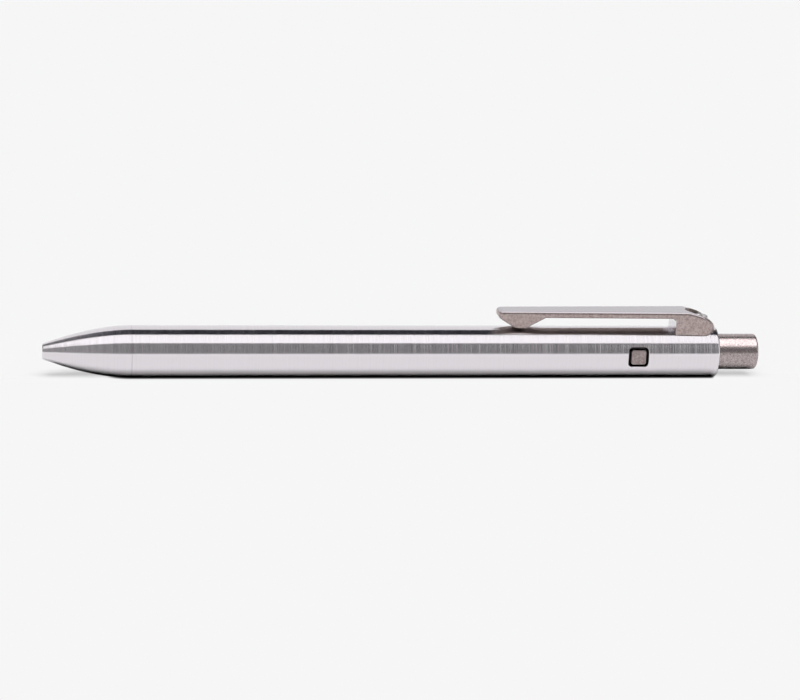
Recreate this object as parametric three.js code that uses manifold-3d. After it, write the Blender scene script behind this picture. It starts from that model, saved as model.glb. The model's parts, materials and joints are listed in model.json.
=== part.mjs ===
// Side click pen: a turned metal barrel with a screwed nose, a screwed-on clip, a plunger at the rear
// that pushes the refill out, and a square button in the side of the barrel that lets it spring back.
import * as THREE from "three";
import { mergeVertices } from "three/addons/utils/BufferGeometryUtils.js";
import Module from "manifold-3d";

const wasm = await Module();
wasm.setup();

// Lengths are in millimetres. A station is a distance along the pen's axis from the open end of the nose.
// The axis runs along X, the clip is on top (+Z) and the button faces -Y.

// Fits between pieces
const slidingClearance = 0.05;
const threadClearance = 0.05;
const seatClearance = 0.03;
const overrun = 1;

// Barrel
const barrelDiameter = 10.6;
const boreDiameter = 8.7;
const frontChamfer = 0.15;
const rearRound = 0.5;
const guideLength = 7;

// Nose cone
const noseLength = 17.7;
const tipDiameter = 3.1;
const tipHoleDiameter = 2.5;
const tipHoleLength = 5;
const springBoreDiameter = 4.9;
const noseBoreDiameter = 6.5;
const boreLead = 0.6;
const shankLength = 8;
const shankLead = 0.4;
const noseTaperDegrees = 20;
const noseTaperShare = 0.2825;
const noseShoulderShare = 0.35;

// Seal between nose and barrel
const sealSection = 0.7;
const sealGrooveOffset = 1.2;
const sealGrooveWidth = 1;

// Refill
const refillRecess = 2.6;
const refillLength = 109.9;
const ballDiameter = 0.7;
const ballSocketDepth = 0.25;
const pointDiameter = 2.3;
const pointTipDiameter = 0.78;
const pointConeLength = 1.9;
const pointLength = 10.9;
const inkChannelDiameter = 0.8;
const pointShown = 8;
const holderNoseDiameter = 3.4;
const holderNoseLength = 4.9;
const holderFlangeLength = 0.8;
const holderPlugLength = 5;
const tubeDiameter = 6;
const tubeBoreDiameter = 5;
const endPlugLength = 2.7;
const endPlugInset = 0.5;
const ventDiameter = 0.8;
const inkLength = 62;
const followerLength = 6;

// Return spring
const returnWireDiameter = 0.4;
const returnCoilDiameter = 4.3;
const returnTurns = 7;

// Plunger
const plungerExposed = 8.5;
const plungerDiameter = 7.3;
const plungerRearRound = 0.5;
const plungerStroke = 5.5;
const strokeSpare = 0.6;
const seatSpare = 0.1;
const flangeDiameter = 7.95;
const flangeLength = 1.2;
const stemDiameter = 4;
const stemScrewDiameter = 3;
const stemScrewLength = 5.5;
const stemScrewRelief = 0.5;
const grooveDepth = 0.7;
const grooveSlack = 0.1;
const grooveLead = 0.5;

// Refill cup on the front of the stem
const cupWall = 0.6;
const cupDepth = 3.9;
const cupFloor = 1.7;
const cupLead = 0.3;
const cupClearance = 0.1;
const cupRestGap = 0.4;

// Latch: block, slide, spring, button and lock ring
const buttonLength = 3.1;
const buttonHeight = 3;
const buttonCornerRound = 0.5;
const buttonEdgeRound = 0.25;
const buttonStandIn = 0.05;
const buttonTravel = 0.5;
const windowGap = 0.55;
const windowCornerRound = 0.9;
const slideThickness = 3;
const slideWidth = 5.4;
const buttonSeatRadius = 3.3;
const pegDiameter = 1.6;
const pegLength = 0.5;
const blockRearWall = 1.2;
const blockLength = 7;
const springPocketDiameter = 2;
const springPocketDepth = 0.9;
const latchWireDiameter = 0.2;
const latchCoilDiameter = 1.5;
const latchTurns = 2;
const lockRingLength = 1.6;
const lockRingBore = 5.2;
const spannerSlotWidth = 0.9;
const spannerSlotDepth = 0.7;

// Clip, its heights measured from the pen's axis
const clipLength = 45.3;
const clipRearInset = 0.4;
const clipTopHeight = 8.92;
const clipArmThickness = 1.28;
const clipTipWidth = 5;
const clipRootWidth = 6.9;
const clipChamfer = 0.28;
const clipTipRound = 0.5;
const clipTipCorner = 0.9;
const clipTipFace = 0.9;
const footStart = 3.35;
const footLength = 2.1;
const footGap = 0.15;
const footRearRun = 4.1;
const slotRound = 1;
const rootLength = 8.8;
const rootSlopeLength = 6.4;
const rootRoundLength = 2.9;
const rootRearHeight = 5.4;
const slopeRunShare = 0.8;
const slopeDropShare = 0.24;

// Clip screw
const screwInset = 3.8;
const screwThreadDiameter = 2.5;
const screwHoleDiameter = 2.8;
const screwHeadDiameter = 4.5;
const screwHeadHeight = 1.3;
const screwHeadChamfer = 0.15;
const recessDiameter = 5;
const recessFloorHeight = 6.35;
const hexSocketFlats = 2;
const hexSocketDepth = 0.8;
const screwEndGap = 0.12;

// Facets round a turned piece and along its curves
const bodySides = 56;
const smallSides = 32;
const curveSteps = 12;
const roundSteps = 4;
const coilSteps = 8;
const wireSides = 5;

// Sizes that follow from the ones above
const barrelRadius = barrelDiameter / 2;
const boreRadius = boreDiameter / 2;
const chamberRadius = flangeDiameter / 2 + slidingClearance;
const guideRadius = plungerDiameter / 2 + slidingClearance;
const shankRadius = boreRadius - threadClearance;
const stemRadius = stemDiameter / 2;
const slideRadius = boreRadius - Math.max(buttonTravel, grooveDepth) - slidingClearance;
const axisHeight = barrelRadius * Math.cos(Math.PI / bodySides);

// Stations along the pen, which is built round its refill from the nose back
const pointStation = refillRecess + ballDiameter / 2 - ballSocketDepth;
const holderStation = pointStation + pointShown;
const springSeatStation = holderStation + holderNoseLength;
const noseBoreStation = springSeatStation - plungerStroke - seatSpare;
const tubeStation = springSeatStation + holderFlangeLength;
const refillEnd = refillRecess + refillLength;
const stemFront = refillEnd + cupFloor;
const lockRingStation = stemFront + cupRestGap;
const blockStation = lockRingStation + lockRingLength;
const chamberStation = blockStation + blockLength;
const buttonStation = chamberStation - blockRearWall - slidingClearance - slideThickness / 2;
const guideStation = chamberStation + strokeSpare + plungerStroke + flangeLength;
const flangeStation = guideStation - flangeLength;
const barrelEnd = guideStation + guideLength;
const penLength = barrelEnd + plungerExposed;
const clipTipStation = barrelEnd - clipRearInset - clipLength;
const screwStation = barrelEnd - clipRearInset - screwInset;

// Distances from the clip's tip
const slotEnd = clipLength - rootLength;
const rootSlopeStart = clipLength - rootSlopeLength;
const rootSideEnd = clipLength - rootRoundLength;

// Finishes
const turnedSteel = metal(0xd6d3d8, 0.22);
const tumbledSteel = metal(0xb3a8a5, 0.42);
const screwSteel = metal(0x8c8a8c, 0.35);
const hardenedSteel = metal(0x99999e, 0.3);
const blackenedSteel = metal(0x2b2b2e, 0.5);
const springSteel = metal(0xa9a9ad, 0.3);
const brass = metal(0xb59a56, 0.35);
const nickelSilver = metal(0xb8b3a8, 0.3);
const sealRubber = plain(0x1b1b1d, 0.8);
const clearPlastic = plain(0xd9dee0, 0.25);
const whitePlastic = plain(0xe8e6df, 0.45);
const ink = plain(0x15151a, 0.2);
const grease = plain(0xd8cfa0, 0.5);

// Returns a metal finish.
function metal(color, roughness) {
  return new THREE.MeshStandardMaterial({ color, roughness, metalness: 1 });
}

// Returns a finish with no metal in it.
function plain(color, roughness) {
  return new THREE.MeshStandardMaterial({ color, roughness, metalness: 0 });
}

// Returns a named mesh whose own datum lies at a station on the pen's axis.
function piece(name, geometry, material, station = 0) {
  const mesh = new THREE.Mesh(geometry, material);
  mesh.name = name;
  mesh.position.x = station;
  return mesh;
}

// Turns a solid about the X axis from [station, radius] points, with a facet square to each of Y and Z.
function turned(points, sides = bodySides) {
  const outline = points.map(([station, radius]) => new THREE.Vector2(radius, station));
  const geometry = new THREE.LatheGeometry(outline, sides, Math.PI / sides);
  return geometry.rotateZ(-Math.PI / 2);
}

// Turns a ring, whose outline closes on its first point.
function turnedRing(points, sides = bodySides) {
  return turned([...points, points[0]], sides);
}

// Turns a solid about the Z axis from [height, radius] points.
function turnedUpright(points, sides = smallSides) {
  const outline = points.map(([height, radius]) => new THREE.Vector2(radius, height));
  const geometry = new THREE.LatheGeometry(outline, sides, Math.PI / sides);
  return geometry.rotateX(Math.PI / 2);
}

// Turns a solid about the Y axis from [depth, radius] points.
function turnedCross(points, sides = smallSides) {
  const outline = points.map(([depth, radius]) => new THREE.Vector2(radius, depth));
  return new THREE.LatheGeometry(outline, sides, Math.PI / sides);
}

// Points of a quarter round from one angle to another, as [station, radius] pairs.
function roundPoints(station, radius, round, from, to) {
  return Array.from({ length: roundSteps + 1 }, (_, i) => {
    const angle = THREE.MathUtils.degToRad(from + ((to - from) * i) / roundSteps);
    return [station + round * Math.cos(angle), radius + round * Math.sin(angle)];
  });
}

// Returns a geometry as a solid that can be joined and cut.
function solidOf(geometry) {
  const surface = geometry.clone();
  surface.deleteAttribute("normal");
  surface.deleteAttribute("uv");
  const merged = mergeVertices(surface);
  const mesh = new wasm.Mesh({
    numProp: 3,
    vertProperties: merged.attributes.position.array,
    triVerts: new Uint32Array(merged.index.array),
  });
  return new wasm.Manifold(mesh);
}

// Returns a solid as a geometry.
function geometryOf(solid) {
  const mesh = solid.getMesh();
  const geometry = new THREE.BufferGeometry();
  geometry.setAttribute("position", new THREE.BufferAttribute(mesh.vertProperties, 3));
  geometry.setIndex(new THREE.BufferAttribute(mesh.triVerts, 1));
  const faceted = geometry.toNonIndexed();
  faceted.computeVertexNormals();
  return faceted;
}

// Cuts tools out of a geometry.
function cut(geometry, ...tools) {
  return geometryOf(tools.reduce((left, tool) => left.subtract(solidOf(tool)), solidOf(geometry)));
}

// Keeps what two geometries share.
function common(first, second) {
  return geometryOf(solidOf(first).intersect(solidOf(second)));
}

// Joins geometries into one.
function joined(first, ...others) {
  return geometryOf(others.reduce((sum, other) => sum.add(solidOf(other)), solidOf(first)));
}

// Returns a block centred on a point.
function block(length, width, height, x = 0, y = 0, z = 0) {
  return new THREE.BoxGeometry(length, width, height).translate(x, y, z);
}

// Returns an outline with round corners, centred on its own origin.
function roundedOutline(length, height, corner) {
  const shape = new THREE.Shape();
  const x = length / 2 - corner;
  const y = height / 2 - corner;
  shape.absarc(x, y, corner, 0, Math.PI / 2);
  shape.absarc(-x, y, corner, Math.PI / 2, Math.PI);
  shape.absarc(-x, -y, corner, Math.PI, 1.5 * Math.PI);
  shape.absarc(x, -y, corner, 1.5 * Math.PI, 2 * Math.PI);
  return shape;
}

// Extrudes an X-Z outline inwards from the face at the given depth along Y.
function pressedIn(shape, faceDepth, depth, edge = 0) {
  const bevel = { bevelEnabled: edge > 0, bevelThickness: edge, bevelSize: edge, bevelOffset: -edge };
  const options = { depth: depth - 2 * edge, bevelSegments: 2, curveSegments: roundSteps, ...bevel };
  const geometry = new THREE.ExtrudeGeometry(shape, options);
  return geometry.translate(0, 0, faceDepth - depth + edge).rotateX(Math.PI / 2);
}

// A helix about the X axis.
class Coil extends THREE.Curve {
  constructor(radius, length, turns) {
    super();
    Object.assign(this, { radius, length, turns });
  }

  getPoint(t, target = new THREE.Vector3()) {
    const angle = 2 * Math.PI * this.turns * t;
    return target.set(this.length * t, this.radius * Math.cos(angle), this.radius * Math.sin(angle));
  }
}

// Winds a spring about the X axis from x = 0, and prints the least gap between its turns.
function spring(name, coilDiameter, wireDiameter, length, turns) {
  const wireRadius = wireDiameter / 2;
  const run = length - wireDiameter - 2 * seatClearance;
  const path = new Coil(coilDiameter / 2, run, turns);
  const section = new THREE.Shape(
    Array.from({ length: wireSides }, (_, i) => {
      const angle = (2 * Math.PI * i) / wireSides;
      return new THREE.Vector2(wireRadius * Math.cos(angle), wireRadius * Math.sin(angle));
    }),
  );
  const steps = turns * coilSteps;
  const points = path.getPoints(steps);
  let gap = Infinity;
  points.forEach((a, i) =>
    points.slice(i + coilSteps - 1).forEach((b) => {
      gap = Math.min(gap, a.distanceTo(b) - wireDiameter);
    }),
  );
  console.log(name + ": least gap between turns " + gap.toFixed(3) + " mm");
  const wire = new THREE.ExtrudeGeometry(section, { steps, extrudePath: path, bevelEnabled: false });
  return wire.translate(wireRadius + seatClearance, 0, 0);
}

// The barrel: stepped bore, a rounded rear rim, the button's window and the clip's screw hole.
function barrel() {
  const front = noseLength;
  const tube = turnedRing([
    [front, boreRadius + frontChamfer],
    [front, barrelRadius - frontChamfer],
    [front + frontChamfer, barrelRadius],
    ...roundPoints(barrelEnd - rearRound, barrelRadius - rearRound, rearRound, 90, 0),
    [barrelEnd, guideRadius + frontChamfer],
    [barrelEnd - frontChamfer, guideRadius],
    [guideStation, guideRadius],
    [guideStation, chamberRadius],
    [chamberStation, chamberRadius],
    [chamberStation, boreRadius],
    [front + frontChamfer, boreRadius],
  ]);
  const outline = roundedOutline(buttonLength + 2 * windowGap, buttonHeight + 2 * windowGap, windowCornerRound);
  const window = pressedIn(outline, barrelRadius + overrun, barrelRadius + overrun - boreRadius / 2);
  const holeRadius = screwThreadDiameter / 2 + seatClearance;
  const hole = turnedUpright([
    [guideRadius / 2, 0],
    [guideRadius / 2, holeRadius],
    [barrelRadius + overrun, holeRadius],
    [barrelRadius + overrun, 0],
  ]);
  return cut(tube, window.translate(buttonStation, 0, 0), hole.translate(screwStation, 0, 0));
}

// The nose cone: a bullet outline that runs into the barrel's own diameter, with the screwed shank behind it.
function noseCone() {
  const taper = noseTaperShare * noseLength;
  const bullet = new THREE.CubicBezierCurve(
    new THREE.Vector2(0, tipDiameter / 2),
    new THREE.Vector2(taper, tipDiameter / 2 + taper * Math.tan(THREE.MathUtils.degToRad(noseTaperDegrees))),
    new THREE.Vector2(noseLength - noseShoulderShare * noseLength, barrelRadius),
    new THREE.Vector2(noseLength, barrelRadius),
  );
  const grooveStation = noseLength + sealGrooveOffset;
  const grooveRadius = boreRadius - sealSection - 2 * seatClearance;
  const shankEnd = noseLength + shankLength;
  return turnedRing([
    [0, tipHoleDiameter / 2],
    ...bullet.getPoints(curveSteps).map((point) => [point.x, point.y]),
    [noseLength, shankRadius],
    [grooveStation, shankRadius],
    [grooveStation, grooveRadius],
    [grooveStation + sealGrooveWidth, grooveRadius],
    [grooveStation + sealGrooveWidth, shankRadius],
    [shankEnd - shankLead, shankRadius],
    [shankEnd, shankRadius - shankLead],
    [shankEnd, noseBoreDiameter / 2],
    [noseBoreStation, noseBoreDiameter / 2],
    [noseBoreStation - boreLead, springBoreDiameter / 2],
    [tipHoleLength, springBoreDiameter / 2],
    [tipHoleLength, tipHoleDiameter / 2],
  ]);
}

// The seal ring in the shank's groove, about its own middle.
function noseSeal() {
  const middle = boreRadius - seatClearance - sealSection / 2;
  const section = Array.from({ length: coilSteps }, (_, i) => {
    const angle = (-2 * Math.PI * i) / coilSteps;
    return [(sealSection / 2) * Math.cos(angle), middle + (sealSection / 2) * Math.sin(angle)];
  });
  return turnedRing(section, smallSides);
}

// The refill's writing ball, about its own centre.
function refillBall() {
  return new THREE.SphereGeometry(ballDiameter / 2, coilSteps * 2, coilSteps);
}

// The refill's metal point from its rim back, with the ball's socket and the ink channel.
function refillPoint() {
  const channel = inkChannelDiameter / 2;
  const socket = ballDiameter / 2 + seatClearance;
  const socketEnd = ballSocketDepth + socket;
  return turnedRing(
    [
      [0, socket],
      [0, pointTipDiameter / 2],
      [pointConeLength, pointDiameter / 2],
      [pointLength, pointDiameter / 2],
      [pointLength, channel],
      [socketEnd + socket, channel],
      [socketEnd, socket],
    ],
    smallSides,
  );
}

// The plastic holder: a nose round the point, a flange that the return spring bears on, and a plug.
function refillTipHolder() {
  const pointHole = pointDiameter / 2 + seatClearance;
  const pointEnd = pointLength - pointShown + seatClearance;
  const flangeEnd = holderNoseLength + holderFlangeLength;
  const end = flangeEnd + holderPlugLength;
  const plug = tubeBoreDiameter / 2 - seatClearance;
  return turnedRing(
    [
      [0, pointHole],
      [0, holderNoseDiameter / 2],
      [holderNoseLength, holderNoseDiameter / 2],
      [holderNoseLength, tubeDiameter / 2],
      [flangeEnd, tubeDiameter / 2],
      [flangeEnd, plug],
      [end, plug],
      [end, inkChannelDiameter / 2],
      [pointEnd, inkChannelDiameter / 2],
      [pointEnd, pointHole],
    ],
    smallSides,
  );
}

// A tube, or a solid rod where the bore is nothing.
function tube(length, outer, bore) {
  const radius = outer / 2;
  if (bore > 0) {
    return turnedRing(
      [
        [0, bore / 2],
        [0, radius],
        [length, radius],
        [length, bore / 2],
      ],
      smallSides,
    );
  }
  return turned(
    [
      [0, 0],
      [0, radius],
      [length, radius],
      [length, 0],
    ],
    smallSides,
  );
}

// The plunger's head from the flange that stops it in the barrel, with a screwed hole for the stem.
function plungerHead() {
  const radius = plungerDiameter / 2;
  const rear = flangeLength + guideLength + plungerExposed;
  const holeRadius = stemScrewDiameter / 2;
  const holeEnd = stemScrewLength + stemScrewRelief;
  return turned([
    [holeEnd, 0],
    [holeEnd, holeRadius],
    [0, holeRadius],
    [0, flangeDiameter / 2],
    [flangeLength, flangeDiameter / 2],
    [flangeLength, radius],
    ...roundPoints(rear - plungerRearRound, radius - plungerRearRound, plungerRearRound, 90, 0),
    [rear, 0],
  ]);
}

// The stem from its front end: screwed into the refill cup and the head, with the latch groove between.
function plungerStem() {
  const screwRadius = stemScrewDiameter / 2 - threadClearance;
  const grooveRadius = stemRadius - grooveDepth;
  const bodyStart = cupFloor;
  const datum = stemFront - cupFloor;
  const bodyEnd = flangeStation - datum;
  const grooveMiddle = buttonStation + plungerStroke - datum;
  const grooveStart = grooveMiddle - slideThickness / 2 - grooveSlack;
  const grooveEnd = grooveMiddle + slideThickness / 2 + grooveSlack;
  return turned(
    [
      [0, 0],
      [0, screwRadius],
      [bodyStart, screwRadius],
      [bodyStart, stemRadius],
      [grooveStart, stemRadius],
      [grooveStart, grooveRadius],
      [grooveEnd, grooveRadius],
      [grooveEnd + grooveLead, stemRadius],
      [bodyEnd, stemRadius],
      [bodyEnd, screwRadius],
      [bodyEnd + stemScrewLength, screwRadius],
      [bodyEnd + stemScrewLength, 0],
    ],
    smallSides,
  );
}

// The cup that holds the tail of the refill, from its mouth back.
function refillCup() {
  const inner = tubeDiameter / 2 + cupClearance;
  const outer = inner + cupWall;
  const end = cupDepth + cupFloor;
  return turnedRing([
    [0, inner + cupLead],
    [0, outer],
    [end, outer],
    [end, stemScrewDiameter / 2],
    [cupDepth, stemScrewDiameter / 2],
    [cupDepth, inner],
    [cupLead, inner],
  ]);
}

// The latch block that guides the stem, with a slot through it for the slide.
function latchBlock() {
  const rod = turnedRing([
    [0, stemRadius + slidingClearance],
    [0, boreRadius - seatClearance],
    [blockLength, boreRadius - seatClearance],
    [blockLength, stemRadius + slidingClearance],
  ]);
  const slotLength = slideThickness + 2 * slidingClearance;
  const slotHeight = slideWidth + 2 * slidingClearance;
  return cut(rod, block(slotLength, boreDiameter + overrun, slotHeight, buttonStation - blockStation));
}

// The ring that screws in behind the latch block's front face, with two slots for a pin spanner.
function lockRing() {
  const outer = boreRadius - threadClearance;
  const ring = turnedRing([
    [0, lockRingBore / 2],
    [0, outer],
    [lockRingLength, outer],
    [lockRingLength, lockRingBore / 2],
  ]);
  return cut(ring, block(2 * spannerSlotDepth, boreDiameter + overrun, spannerSlotWidth));
}

// The latch slide about its own middle: an eye round the stem, a seat for the button and a spring pocket.
function latchSlide() {
  const eyeRadius = stemRadius + slidingClearance;
  const seatDepth = slideRadius + buttonSeatRadius;
  const plate = common(
    block(slideThickness, seatDepth, slideWidth, 0, (slideRadius - buttonSeatRadius) / 2),
    turned([
      [-slideThickness, 0],
      [-slideThickness, slideRadius],
      [slideThickness, slideRadius],
      [slideThickness, 0],
    ]),
  );
  const eye = () =>
    turned(
      [
        [-slideThickness, 0],
        [-slideThickness, eyeRadius],
        [slideThickness, eyeRadius],
        [slideThickness, 0],
      ],
      smallSides,
    );
  const pegHole = turnedCross([
    [-buttonSeatRadius - overrun, 0],
    [-buttonSeatRadius - overrun, pegDiameter / 2 + seatClearance],
    [-buttonSeatRadius + pegLength + seatClearance, pegDiameter / 2 + seatClearance],
    [-buttonSeatRadius + pegLength + seatClearance, 0],
  ]);
  const pocket = turnedCross([
    [slideRadius - springPocketDepth, 0],
    [slideRadius - springPocketDepth, springPocketDiameter / 2],
    [slideRadius + overrun, springPocketDiameter / 2],
    [slideRadius + overrun, 0],
  ]);
  const between = block(2 * slideThickness, buttonTravel, 2 * eyeRadius, 0, -buttonTravel / 2);
  return cut(plate, eye(), eye().translate(0, -buttonTravel, 0), between, pegHole, pocket);
}

// The release button: a square head in the window and a peg that is pressed into the slide.
function releaseButton() {
  const face = barrelRadius - buttonStandIn;
  const outline = roundedOutline(buttonLength, buttonHeight, buttonCornerRound);
  const head = pressedIn(outline, face, face - buttonSeatRadius, buttonEdgeRound);
  const peg = turnedCross([
    [-face + buttonEdgeRound, 0],
    [-face + buttonEdgeRound, pegDiameter / 2],
    [-buttonSeatRadius + pegLength, pegDiameter / 2],
    [-buttonSeatRadius + pegLength, 0],
  ]);
  return joined(head, peg);
}

// The spring between the slide and the barrel's wall.
function latchSpring() {
  const seat = slideRadius - springPocketDepth;
  const outer = (latchCoilDiameter + latchWireDiameter) / 2;
  const wall = Math.sqrt(boreRadius ** 2 - outer ** 2);
  const length = wall - seat - seatClearance;
  const wire = spring("latch_spring", latchCoilDiameter, latchWireDiameter, length, latchTurns);
  return wire.rotateZ(Math.PI / 2).translate(0, seat, 0);
}

// Half the clip's width at a distance from its tip.
function clipHalfWidth(x) {
  return THREE.MathUtils.lerp(clipTipWidth, clipRootWidth, x / rootSideEnd) / 2;
}

// The clip's outline from the side, as X from its tip and height above the pen's axis.
function clipSide() {
  const underside = clipTopHeight - clipArmThickness;
  const footBottom = barrelRadius + footGap;
  const rootBottom = barrelRadius / 2;
  const footEnd = footStart + footLength;
  const slopeDrop = clipTopHeight - rootRearHeight;
  const shape = new THREE.Shape();
  shape.moveTo(footStart, footBottom);
  shape.lineTo(footEnd, footBottom);
  shape.lineTo(footEnd + footRearRun, underside);
  shape.lineTo(slotEnd - slotRound, underside);
  shape.absarc(slotEnd - slotRound, underside - slotRound, slotRound, Math.PI / 2, 0, true);
  shape.lineTo(slotEnd, rootBottom);
  shape.lineTo(clipLength, rootBottom);
  shape.lineTo(clipLength, rootRearHeight);
  shape.quadraticCurveTo(
    rootSlopeStart + slopeRunShare * rootSlopeLength,
    clipTopHeight - slopeDropShare * slopeDrop,
    rootSlopeStart,
    clipTopHeight,
  );
  shape.lineTo(clipTipRound, clipTopHeight);
  shape.absarc(clipTipRound, clipTopHeight - clipTipRound, clipTipRound, Math.PI / 2, Math.PI);
  shape.lineTo(0, clipTopHeight - clipTipFace - clipTipRound);
  shape.closePath();
  return shape;
}

// The clip's outline from above: round corners at the tip and a round rear end.
function clipPlan() {
  const tipHalf = clipHalfWidth(0);
  const rootHalf = clipHalfWidth(rootSideEnd);
  const shape = new THREE.Shape();
  shape.moveTo(clipTipCorner, -tipHalf);
  shape.lineTo(rootSideEnd, -rootHalf);
  shape.absellipse(rootSideEnd, 0, rootRoundLength, rootHalf, -Math.PI / 2, Math.PI / 2);
  shape.lineTo(clipTipCorner, tipHalf);
  shape.absarc(clipTipCorner, tipHalf - clipTipCorner, clipTipCorner, Math.PI / 2, Math.PI);
  shape.absarc(clipTipCorner, clipTipCorner - tipHalf, clipTipCorner, Math.PI, 1.5 * Math.PI);
  return shape;
}

// The clip, machined in one piece, from its tip: a bevelled side outline that narrows to the tip.
function clip() {
  const fullWidth = 2 * clipHalfWidth(clipLength);
  const side = new THREE.ExtrudeGeometry(clipSide(), {
    depth: fullWidth - 2 * clipChamfer,
    curveSegments: curveSteps,
    bevelThickness: clipChamfer,
    bevelSize: clipChamfer,
    bevelOffset: -clipChamfer,
    bevelSegments: 1,
  });
  side.translate(0, 0, clipChamfer - fullWidth / 2).rotateX(Math.PI / 2);
  const corners = side.attributes.position;
  for (let i = 0; i < corners.count; i += 1) {
    const narrowing = clipHalfWidth(corners.getX(i)) / clipHalfWidth(clipLength);
    corners.setY(i, corners.getY(i) * narrowing);
  }
  const plan = new THREE.ExtrudeGeometry(clipPlan(), {
    depth: clipTopHeight + overrun,
    curveSegments: curveSteps,
    bevelEnabled: false,
  });
  const saddle = turned([
    [-overrun, 0],
    [-overrun, barrelRadius + seatClearance],
    [clipLength + overrun, barrelRadius + seatClearance],
    [clipLength + overrun, 0],
  ]);
  const screwHole = turnedUpright([
    [0, 0],
    [0, screwHoleDiameter / 2],
    [recessFloorHeight, screwHoleDiameter / 2],
    [recessFloorHeight, recessDiameter / 2],
    [clipTopHeight + overrun, recessDiameter / 2],
    [clipTopHeight + overrun, 0],
  ]);
  return cut(common(side, plan), saddle, screwHole.translate(screwStation - clipTipStation, 0, 0));
}

// The clip's screw, upright, its heights measured from the pen's axis.
function clipScrew() {
  const seat = recessFloorHeight + seatClearance;
  const top = seat + screwHeadHeight;
  const headRadius = screwHeadDiameter / 2;
  const threadRadius = screwThreadDiameter / 2;
  const end = guideRadius + screwEndGap;
  const screw = turnedUpright([
    [end, 0],
    [end, threadRadius],
    [seat, threadRadius],
    [seat, headRadius],
    [top - screwHeadChamfer, headRadius],
    [top, headRadius - screwHeadChamfer],
    [top, 0],
  ]);
  const socketRadius = hexSocketFlats / 2 / Math.cos(Math.PI / 6);
  const socket = new THREE.CylinderGeometry(socketRadius, socketRadius, 2 * hexSocketDepth, 6);
  return cut(screw, socket.rotateX(Math.PI / 2).translate(0, 0, top));
}

// Returns a group that holds its pieces.
function assembly(...pieces) {
  return new THREE.Group().add(...pieces);
}

const sealMiddle = noseLength + sealGrooveOffset + sealGrooveWidth / 2;
const tubeLength = refillEnd - tubeStation;
const tubeFit = tubeBoreDiameter - 2 * seatClearance;
const inkStation = tubeStation + holderPlugLength;

const noseAssembly = assembly(
  piece("nose_cone", noseCone(), turnedSteel),
  piece("nose_o_ring", noseSeal(), sealRubber, sealMiddle),
);

const clipAssembly = assembly(
  piece("clip", clip(), tumbledSteel, clipTipStation),
  piece("clip_screw", clipScrew(), screwSteel, screwStation),
);

const plungerAssembly = assembly(
  piece("plunger_head", plungerHead(), tumbledSteel, flangeStation),
  piece("plunger_stem", plungerStem(), hardenedSteel, refillEnd),
  piece("refill_cup", refillCup(), brass, refillEnd - cupDepth),
);

const latchAssembly = assembly(
  piece("latch_block", latchBlock(), blackenedSteel, blockStation),
  piece("lock_ring", lockRing(), brass, lockRingStation),
  piece("latch_slide", latchSlide(), hardenedSteel, buttonStation),
  piece("latch_spring", latchSpring(), springSteel, buttonStation),
  piece("release_button", releaseButton(), tumbledSteel, buttonStation),
);

const returnSpringLength = springSeatStation - tipHoleLength;
const refillAssembly = assembly(
  piece(
    "return_spring",
    spring("return_spring", returnCoilDiameter, returnWireDiameter, returnSpringLength, returnTurns),
    springSteel,
    tipHoleLength,
  ),
  piece("refill_ball", refillBall(), hardenedSteel, refillRecess + ballDiameter / 2),
  piece("refill_point", refillPoint(), nickelSilver, pointStation),
  piece("refill_tip_holder", refillTipHolder(), whitePlastic, holderStation),
  piece("refill_tube", tube(tubeLength, tubeDiameter, tubeBoreDiameter), clearPlastic, tubeStation),
  piece("refill_ink", tube(inkLength, tubeFit, 0), ink, inkStation),
  piece("refill_follower", tube(followerLength, tubeFit, 0), grease, inkStation + inkLength),
  piece(
    "refill_end_plug",
    tube(endPlugLength, tubeFit, ventDiameter),
    whitePlastic,
    refillEnd - endPlugInset - endPlugLength,
  ),
);

const pen = assembly(
  piece("barrel", barrel(), turnedSteel),
  noseAssembly,
  clipAssembly,
  plungerAssembly,
  latchAssembly,
  refillAssembly,
);
pen.position.set(-penLength / 2, 0, axisHeight);

export default assembly(pen);
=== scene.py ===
"""Side click pen: the looks of a machined metal pen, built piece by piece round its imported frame.

Each piece is modelled in the pen's own frame, in millimetres. X is the station from the open end of the nose, the
axis lies at Y = Z = 0, the clip is above it and the release button looks along -Y. Then it is put in its place.
"""

import json
import logging
import math
from contextlib import contextmanager
from dataclasses import dataclass
from enum import Enum
from typing import Any, Callable, Iterator

import bmesh
import bpy
from mathutils import Matrix, Vector
from mathutils.kdtree import KDTree


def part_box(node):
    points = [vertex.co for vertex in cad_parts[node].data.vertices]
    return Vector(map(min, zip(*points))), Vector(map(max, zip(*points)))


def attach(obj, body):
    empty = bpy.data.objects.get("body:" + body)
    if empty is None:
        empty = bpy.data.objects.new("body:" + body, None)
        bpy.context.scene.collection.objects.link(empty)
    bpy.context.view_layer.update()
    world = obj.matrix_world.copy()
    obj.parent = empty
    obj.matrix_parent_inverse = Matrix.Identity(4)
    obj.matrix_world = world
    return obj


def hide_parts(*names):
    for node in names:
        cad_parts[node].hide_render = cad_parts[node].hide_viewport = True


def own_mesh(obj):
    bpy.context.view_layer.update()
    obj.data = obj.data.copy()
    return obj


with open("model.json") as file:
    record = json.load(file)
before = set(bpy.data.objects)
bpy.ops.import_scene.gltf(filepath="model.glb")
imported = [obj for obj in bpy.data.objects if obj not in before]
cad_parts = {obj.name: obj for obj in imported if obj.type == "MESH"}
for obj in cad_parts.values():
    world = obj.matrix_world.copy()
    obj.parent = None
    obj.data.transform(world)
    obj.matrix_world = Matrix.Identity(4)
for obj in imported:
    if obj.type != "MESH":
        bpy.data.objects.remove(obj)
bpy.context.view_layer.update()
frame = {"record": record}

LOG = logging.getLogger("side_click_pen")
MM = 0.001
WELD = 0.0002
FULL_TURN = 2 * math.pi
# How far from level the normal of an upright wall may be, and how far below level a lower face's normal looks.
UPRIGHT = 0.01
LOOKS_DOWN = 0.02
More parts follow.
